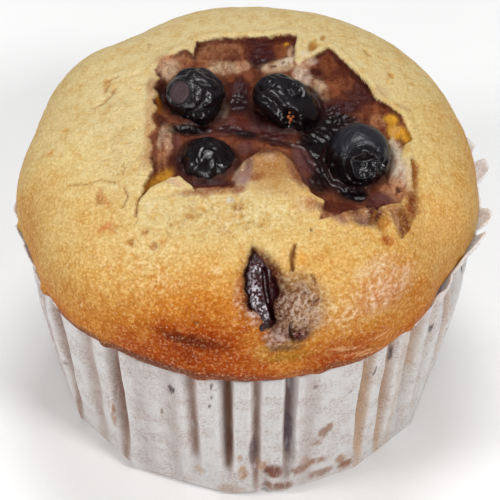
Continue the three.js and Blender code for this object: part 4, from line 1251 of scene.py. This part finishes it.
def left_berry(d):
    """A flat brownish scar on the upper left, and a puckered ring beside it."""
    scar = angle_from(d, (-0.54, -0.43, 0.73))
    flat = 0.92 / np.maximum(np.cos(np.minimum(scar, 1.2)), 0.3)
    radius = 1.05 + 0.035 * noise(d, 0.5, 41, 2) - 0.09 * ridges(d, 0.6, 42, 2) * ramp(scar, 0.5, 0.8)
    radius = np.where(scar < 0.45, np.minimum(radius, flat), radius)
    radius += 0.025 * peak(scar - 0.46, 0.04) - 0.02 * peak(scar - 0.38, 0.03)
    ring = angle_from(d, (0.3, -0.62, 0.72))
    radius += 0.035 * peak(ring - 0.3, 0.09) - 0.05 * peak(ring, 0.13)
    radius += 0.05 * peak(angle_from(d, (0.88, 0.0, 0.48)), 0.28)
    radius -= 0.07 * peak(angle_from(d, (0.72, -0.3, 0.62)), 0.12)
    radius -= 0.12 * peak(angle_from(d, (0.93, -0.34, -0.1)), 0.28)
    radius += 0.2 * peak(angle_from(d, (0.2, -0.95, -0.1)), 0.4)
    bloom = 0.75 * (1 - ramp(scar, 0.36, 0.43)) + 0.22 * ramp(d[:, 2], 0.1, 0.8)
    tint = laid_over(np.tile(srgb(52, 44, 52), (len(d), 1)), srgb(66, 46, 50), 1 - ramp(scar, 0.38, 0.46))
    return radius, bloom, tint


def middle_berry(d):
    """Two round nubs on top, folds along it, and an open slit towards the front."""
    along = d @ np.array([0.62, -0.57, -0.54])
    across = d @ np.array([0.785, 0.45, 0.427])
    radius = 0.92 + 0.2 * along**2 - 0.18 * across**2 + 0.03 * noise(d, 0.6, 51, 2)
    radius += 0.05 * np.sin(8.0 * across + 2.0 * noise(d, 0.9, 52)) * ramp(0.95 - np.abs(along), 0, 0.4)
    for place in ((-0.55, 0.16, 0.82), (0.3, -0.16, 0.94)):
        nub = angle_from(d, place)
        radius += 0.07 * (1 - ramp(nub, 0.16, 0.27)) - 0.05 * peak(nub - 0.31, 0.05) - 0.04 * peak(nub, 0.07)
    slit = np.minimum(angle_from(d, (0.08, -0.9, 0.42)), angle_from(d, (0.09, -0.97, 0.2)))
    slit = np.minimum(slit, angle_from(d, (0.1, -0.99, 0.0)))
    radius -= 0.16 * peak(slit, 0.13)
    radius += 0.05 * peak(slit - 0.28, 0.1)
    radius = 1.04 * (radius - 0.03 * ridges(d, 0.6, 53, 2))
    bloom = 0.12 * ramp(d[:, 2], 0.2, 0.9)
    return radius, bloom, np.tile(srgb(60, 58, 66), (len(d), 1))


def front_berry(d):
    """Wrinkled all over, like a raisin."""
    radius = 0.99 - 0.13 * ridges(d, 0.95, 61) - 0.035 * ridges(d, 0.45, 62) + 0.05 * noise(d, 1.2, 63)
    bloom = 0.12 * ramp(radius, 0.88, 0.98)
    return radius, bloom, np.tile(srgb(74, 68, 74), (len(d), 1))


def right_berry(d):
    """Smooth with a dull bloom above, and a raised ring round its flower end towards the front."""
    end = angle_from(d, (0.15, -0.83, 0.54))
    radius = 1 + 0.02 * noise(d, 0.7, 71, 2)
    lobes = 0.03 * np.cos(5 * np.arctan2(d[:, 0] - 0.15, d[:, 2] - 0.54))
    radius += 0.12 * peak(end - 0.38 - lobes, 0.09) - 0.14 * peak(end, 0.2) + 0.08 * peak(end, 0.08)
    radius -= 0.04 * peak(end - 0.62, 0.08)
    low_right = angle_from(d, (0.55, -0.78, 0.15))
    radius -= 0.1 * ridges(d, 0.45, 72, 2) * peak(low_right, 0.6)
    left_side = angle_from(d, (-0.85, -0.5, 0.1))
    radius -= 0.17 * ridges(d, 0.5, 73, 2) * peak(left_side, 0.55)
    crease = angle_from(d, (0.05, -0.35, 0.95))
    radius -= 0.02 * peak(crease - 0.55, 0.06)
    bloom = 0.5 * ramp(d[:, 2], 0.35, 0.85) * ramp(end, 0.45, 0.7)
    bloom += 0.12 * peak(end - 0.3, 0.2)
    return radius, bloom, np.tile(srgb(46, 47, 56), (len(d), 1))


def slope_frame(bearing, radius, sunk):
    """A frame on the crown's slope: X across it, Y up along it, Z out of it, and its place."""
    angle = math.radians(bearing)

    def at(reach):
        height = float(dome_height(np.array(reach)))
        return np.array([reach * math.sin(angle), -reach * math.cos(angle), height])

    up_slope = at(radius - 0.5) - at(radius + 0.5)
    up_slope /= np.linalg.norm(up_slope)
    across = np.array([math.cos(angle), math.sin(angle), 0.0])
    out = np.cross(across, up_slope)
    return np.stack([across, up_slope, out]), at(radius) - sunk * out


def make_burst():
    """The burst berry: dark wet flesh with pale flecks, partly frost and partly painted highlights, and a
    black crack down its right side.
    """
    directions, faces = ball(BERRY_LEVEL)
    axes, place = slope_frame(BURST_BEARING, BURST_RADIUS, BURST_SUNK)
    local = directions * np.array(BURST_HALF_SIZES)
    swell = 1 + 0.14 * noise(local, 1.9, 81, 2) + 0.05 * noise(local, 0.7, 82, 2)
    local *= swell[:, None]
    crack = near_path(local[:, 0], local[:, 1], BURST_CRACK)
    local[:, 2] -= 1.1 * (1 - ramp(crack, 0.15, 0.6)) * (local[:, 2] > 0)
    points = local @ axes + place - 0.7 * axes[2]
    # Pale flecks: partly frosty flesh and partly painted highlights on the wet flesh.
    frost_and_highlight = cover(local[:, 0], local[:, 1], FROST_AND_HIGHLIGHT_AREAS, 1.2)
    bloom = 0.9 * frost_and_highlight * ramp(noise(local, 0.32, 83, 2), 0.0, 0.2)
    bloom *= ramp(crack, 0.3, 0.7)
    fields = {"bloom": np.clip(bloom, 0, 1), "tint": np.tile(srgb(*FROST_AND_HIGHLIGHT_COLOUR), (len(points), 1))}
    flesh = berry_material("burst_berry_flesh", plain(50, 10, 12), 0.24)
    return make_piece("burst_berry_flesh", points, faces, ["berry_burst"], flesh, fields)


def make_seeds():
    """Tiny orange seeds in the middle berry's slit."""
    directions, faces = ball(SEED_LEVEL)
    centre, sizes = BERRIES["berry_middle"]
    points, all_faces = [], []
    for index, (*way, size) in enumerate(SEEDS):
        start = len(directions) * index
        way = np.array(way) / math.hypot(*way)
        points.append(directions * size * [1, 0.8, 1.3] + way * 0.9 * np.array(sizes) + centre)
        all_faces += [[start + i for i in face] for face in faces]
    points = np.concatenate(points)
    fields = {"bloom": np.full(len(points), 0.5), "tint": np.tile(srgb(*SEED_COLOUR), (len(points), 1))}
    seed = berry_material("berry_seeds", plain(150, 70, 34), 0.3)
    return make_piece("berry_seeds", points, all_faces, [], seed, fields)


# ---- The paper case ----


def all_folds():
    """Every pleat: bearing, spread to the left, spread to the right, depth."""
    folds = list(FRONT_FOLDS)
    for i in range(EVEN_FOLDS):
        middle = EVEN_FOLDS_FROM + (EVEN_FOLDS_TO - EVEN_FOLDS_FROM) * i / (EVEN_FOLDS - 1)
        middle += EVEN_DRIFT * math.sin(1.7 * i)
        folds.append((middle, EVEN_SPREAD, EVEN_SPREAD, EVEN_DEPTH + EVEN_DEPTH_DRIFT * math.sin(2.3 * i)))
    return folds


def fold_inset(bearing, folds):
    """How deep the pleats are at each bearing."""
    inset = np.zeros(len(bearing))
    for middle, left, right, depth in folds:
        inset = np.maximum(inset, depth * bump(turn(bearing, middle), left, right))
    return inset


def looseness(bearing):
    """1 where the case stands loosest, at the right, and 0 away from there."""
    return bump(turn(bearing, LOOSE_BEARING), LOOSE_SPREAD)


def paper_open_radius(bearing, height):
    """The radius of the case's wall between its pleats."""
    tucked = 1 - away_from_front(bearing, TUCKED_TO, FREE_FROM)
    flare = FLARE + (TUCKED_FLARE - FLARE) * tucked + LOOSE_FLARE * looseness(bearing)
    return BASE_RADIUS + flare * np.maximum(height - CORNER_RADIUS, 0)


def paper_rim_height(bearing, crest):
    """The height of the rim, which is lower at the front and higher on the crests of the pleats."""
    tucked = 1 - away_from_front(bearing, TUCKED_TO, FREE_FROM)
    height = RIM_HEIGHT + (TUCKED_RIM_HEIGHT - RIM_HEIGHT) * tucked + LOOSE_HEIGHT * looseness(bearing)
    for middle, width, rise in RIM_RISES:
        height = height + rise * bump(turn(bearing, middle), width)
    lobe = FLUTE_HEIGHT * (0.6 + 0.4 * looseness(bearing))
    return height + (1 - tucked) * lobe * (np.sqrt(crest) - 0.6)


def flute_reach(bearing):
    """How far the crests of the loose rim stand out from the crown."""
    right = 2.8 * looseness(bearing) ** 2 * (1 - bump(turn(bearing, 91), 9))
    left = 0.6 * bump(turn(bearing, LEFT_FLUTES), 24)
    return 0.1 + right + left


def crown_edge_radius(bearing, height):
    """How far out the crown reaches at a height, and 0 below its lip."""
    lip_bottom = WIDEST_HEIGHT - LIP_RADIUS * math.sin(math.radians(LIP_END))
    below = WIDEST_HEIGHT - np.clip(height, lip_bottom, WIDEST_HEIGHT)
    reach = CROWN_RADIUS - LIP_RADIUS + np.sqrt(LIP_RADIUS**2 - below**2)
    return np.where(height < lip_bottom - PAPER_CLEARANCE, 0, reach * crown_swell(bearing))


def base_wave(bearing):
    """How far the base's edge stands out from a circle, as it is creased into corners."""
    around = np.radians(bearing)
    places = BASE_RADIUS * np.stack([np.sin(around), -np.cos(around), np.zeros(len(bearing))], axis=1)
    wave = 0.25 * noise(places, 9.0, 96) - 0.8 * bump(turn(bearing, 5.2), 2.4)
    corners = np.array(BASE_CORNERS + (BASE_CORNERS[0] + 360,), float)
    along = (bearing - corners[0]) % 360 + corners[0]
    side = np.searchsorted(corners, along, side="right") - 1
    half = np.radians(corners[side + 1] - corners[side]) / 2
    off_middle = np.radians(along - corners[side]) - half
    return wave + (BASE_RADIUS * (np.cos(half) / np.cos(off_middle) - 1) + 0.3)


def wall_radius(bearing, height, crest, wave, folds):
    """The radius of a row of the pleated wall."""
    flat = np.stack([bearing * 0.6, height, np.zeros(len(bearing))], axis=1)
    lean = bearing + 0.35 * noise(flat, 9.0, 91)
    inset = fold_inset(lean, folds) * ramp(height, 1.5, 15.0)
    radius = paper_open_radius(bearing, height) + wave * (1 - ramp(height, 3, 14)) - inset
    radius = radius + 0.12 * noise(flat, 3.5, 92, 2) * ramp(height, 1, 6)
    # The loose rim hugs the crown in its valleys, and its crests stand out.
    loose = away_from_front(bearing, 56, 70)
    stand_off = PAPER_THICKNESS + PAPER_CLEARANCE * (1 - 0.75 * loose)
    snug = crown_edge_radius(bearing, np.maximum(height, WIDEST_HEIGHT - 4.5)) + stand_off
    outward = ramp(height, WIDEST_HEIGHT - 5.0, WIDEST_HEIGHT + 1.5)
    rim = snug + np.sqrt(crest) * flute_reach(bearing) * outward
    radius += (rim - radius) * loose * ramp(height, 22, 33)
    return np.maximum(radius, crown_edge_radius(bearing, height) + stand_off)


def case_rows(bearing, folds):
    """Rows of (radius, height) round the case, from the middle of its base to its rim."""
    rows = []
    wave = base_wave(bearing)
    level = np.zeros(len(bearing))
    for i in range(1, BASE_ROWS):
        rows.append((level + (BASE_RADIUS - CORNER_RADIUS) * i / BASE_ROWS, level))
    for i in range(CORNER_ROWS + 1):
        angle = math.pi / 2 * i / CORNER_ROWS
        radius = BASE_RADIUS + wave - CORNER_RADIUS * (1 - math.sin(angle))
        rows.append((radius, level + CORNER_RADIUS * (1 - math.cos(angle))))
    crest = ramp(1 - fold_inset(bearing, folds) / EVEN_DEPTH, 0, 0.75)
    rise = paper_rim_height(bearing, crest) - CORNER_RADIUS
    for i in range(1, WALL_ROWS + 1):
        height = CORNER_RADIUS + rise * i / WALL_ROWS
        rows.append((wall_radius(bearing, height, crest, wave, folds), height))
    return rows


def paper_colours(points, bearing, folds):
    """Paper white, with painted shade in the pleats, painted light on the loose rim where light shines
    through it, and stains.
    """
    height = points[:, 2]
    tint = np.tile(srgb(*PAPER_COLOUR), (len(points), 1))
    folded = fold_inset(bearing, [(*place, min(depth / 2.2, 1)) for *place, depth in folds])
    folded *= ramp(height, 1.5, 13.0)
    # Painted light: the loose rim gets less painted shade and is painted whiter, standing in for light
    # shining through the thin paper.
    folded *= 1 - 0.9 * ramp(height, 27, 33) * away_from_front(bearing, 56, 70)
    tint = laid_over(tint, srgb(*PLEAT_SHADE), 0.5 * folded)
    rim_light_through = ramp(height, 29, 34) * away_from_front(bearing, 52, 64)
    tint = laid_over(tint, srgb(*LOOSE_RIM_LIGHT), rim_light_through)
    ragged = height + 4 * noise(points, 2.0, 94, 2)
    # Painted shade of the folds and of the dimmer panels, with brown where grease and crust show through.
    for middle, width, lowest, colour, strength in PLEAT_SHADE_AND_STAINS:
        mask = strength * bump(turn(bearing, middle), width) * ramp(ragged, lowest, lowest + 7)
        tint = laid_over(tint, srgb(*colour), mask)
    wander = 0.3 * noise(points, 1.2, 93, 3)
    across = turn(bearing, 0) * MILLIMETRES_A_DEGREE + wander
    up = height + wander
    tint = stained(tint, across, up, PAPER_STAINS, 0.4, MILLIMETRES_A_DEGREE, PAPER_STAIN_GAIN)
    greasy = (1 - ramp(height, 0, 7)) * ramp(noise(points, 3.0, 95, 2), 0.0, 0.5)
    return laid_over(tint, srgb(*GREASE_COLOUR), 0.35 * greasy)


def make_paper():
    folds = all_folds()
    bearing = np.arange(CASE_COLUMNS) * 360.0 / CASE_COLUMNS
    rows = case_rows(bearing, folds)
    radius, height = np.array(rows).transpose(1, 0, 2).reshape(2, -1)
    bearing = np.tile(bearing, len(rows))
    angle = np.radians(bearing)
    points = np.stack([radius * np.sin(angle), -radius * np.cos(angle), height], axis=1)
    tint = paper_colours(points, bearing, folds)

    index = np.arange(len(points)).reshape(len(rows), CASE_COLUMNS)
    faces = []
    for below, above in zip(index, index[1:]):
        faces += np.stack([below, np.roll(below, -1), np.roll(above, -1), above], axis=1).tolist()
    centre = np.full(CASE_COLUMNS, len(points))
    faces += np.stack([index[0], centre, np.roll(index[0], -1)], axis=1).tolist()
    points = np.concatenate([points, [[0.0, 0.0, 0.0]]])
    fields = {"tint": np.concatenate([tint, tint[:1]])}
    paper = paper_material()
    return make_piece(
        "pleated_case", points, faces, ["paper_case"], paper, fields, thickness=PAPER_THICKNESS
    )


# ---- Stage ----


def make_floor():
    shader = Shader("pale_floor")
    pale = shader.mixed(shader.noise(60.0, 2.0), plain(246, 246, 246), plain(250, 250, 250))
    shader.feed(shader.surface, {"Base Color": pale, "Roughness": 0.9})
    mesh = bpy.data.meshes.new("floor")
    sides = [(-1, -1), (1, -1), (1, 1), (-1, 1)]
    mesh.from_pydata([(x * FLOOR_REACH, y * FLOOR_REACH, 0) for x, y in sides], [], [(0, 1, 2, 3)])
    mesh.materials.append(shader.material)
    floor = bpy.data.objects.new("floor", mesh)
    floor.location.z = -FLOOR_DROP
    bpy.context.scene.collection.objects.link(floor)


def place_aimed(name, data, place, target):
    """Puts a camera or a light in the scene, looking at the target."""
    item = bpy.data.objects.new(name, data)
    item.location = place
    item.rotation_euler = (Vector(target) - item.location).to_track_quat("-Z", "Y").to_euler()
    bpy.context.scene.collection.objects.link(item)
    return item


def make_camera(target):
    data = bpy.data.cameras.new("camera")
    data.sensor_width = SENSOR_WIDTH
    data.lens = CAMERA_LENS
    data.clip_start = NEAR_CLIP
    elevation = math.radians(CAMERA_ELEVATION)
    away = Vector((0, -math.cos(elevation), math.sin(elevation)))
    camera = place_aimed("camera", data, target + CAMERA_DISTANCE * away, target)
    bpy.context.scene.camera = camera


def make_light(name, place, size, power, target):
    light = bpy.data.lights.new(name, "AREA")
    light.size = size
    light.energy = power
    place_aimed(name, light, place, target)


def make_stage():
    make_floor()
    low, high = cad_box
    target = (low + high) / 2 + Vector(AIM_OFFSET)
    make_camera(target)
    for light in LIGHTS:
        make_light(*light, target)
    world = bpy.data.worlds.new("studio")
    world.use_nodes = True
    background = world.node_tree.nodes["Background"]
    background.inputs["Color"].default_value = (1.0, 1.0, 1.0, 1.0)
    background.inputs["Strength"].default_value = WORLD_STRENGTH
    bpy.context.scene.world = world
    bpy.context.scene.view_settings.view_transform = "Standard"


make_cake()
skin = berry_material("berry_skin", plain(10, 5, 7), 0.09)
make_berry("berry_left", left_berry, skin)
make_berry("berry_middle", middle_berry, skin)
make_berry("berry_front", front_berry, skin)
make_berry("berry_right", right_berry, skin)
make_burst()
make_seeds()
make_paper()
make_stage()
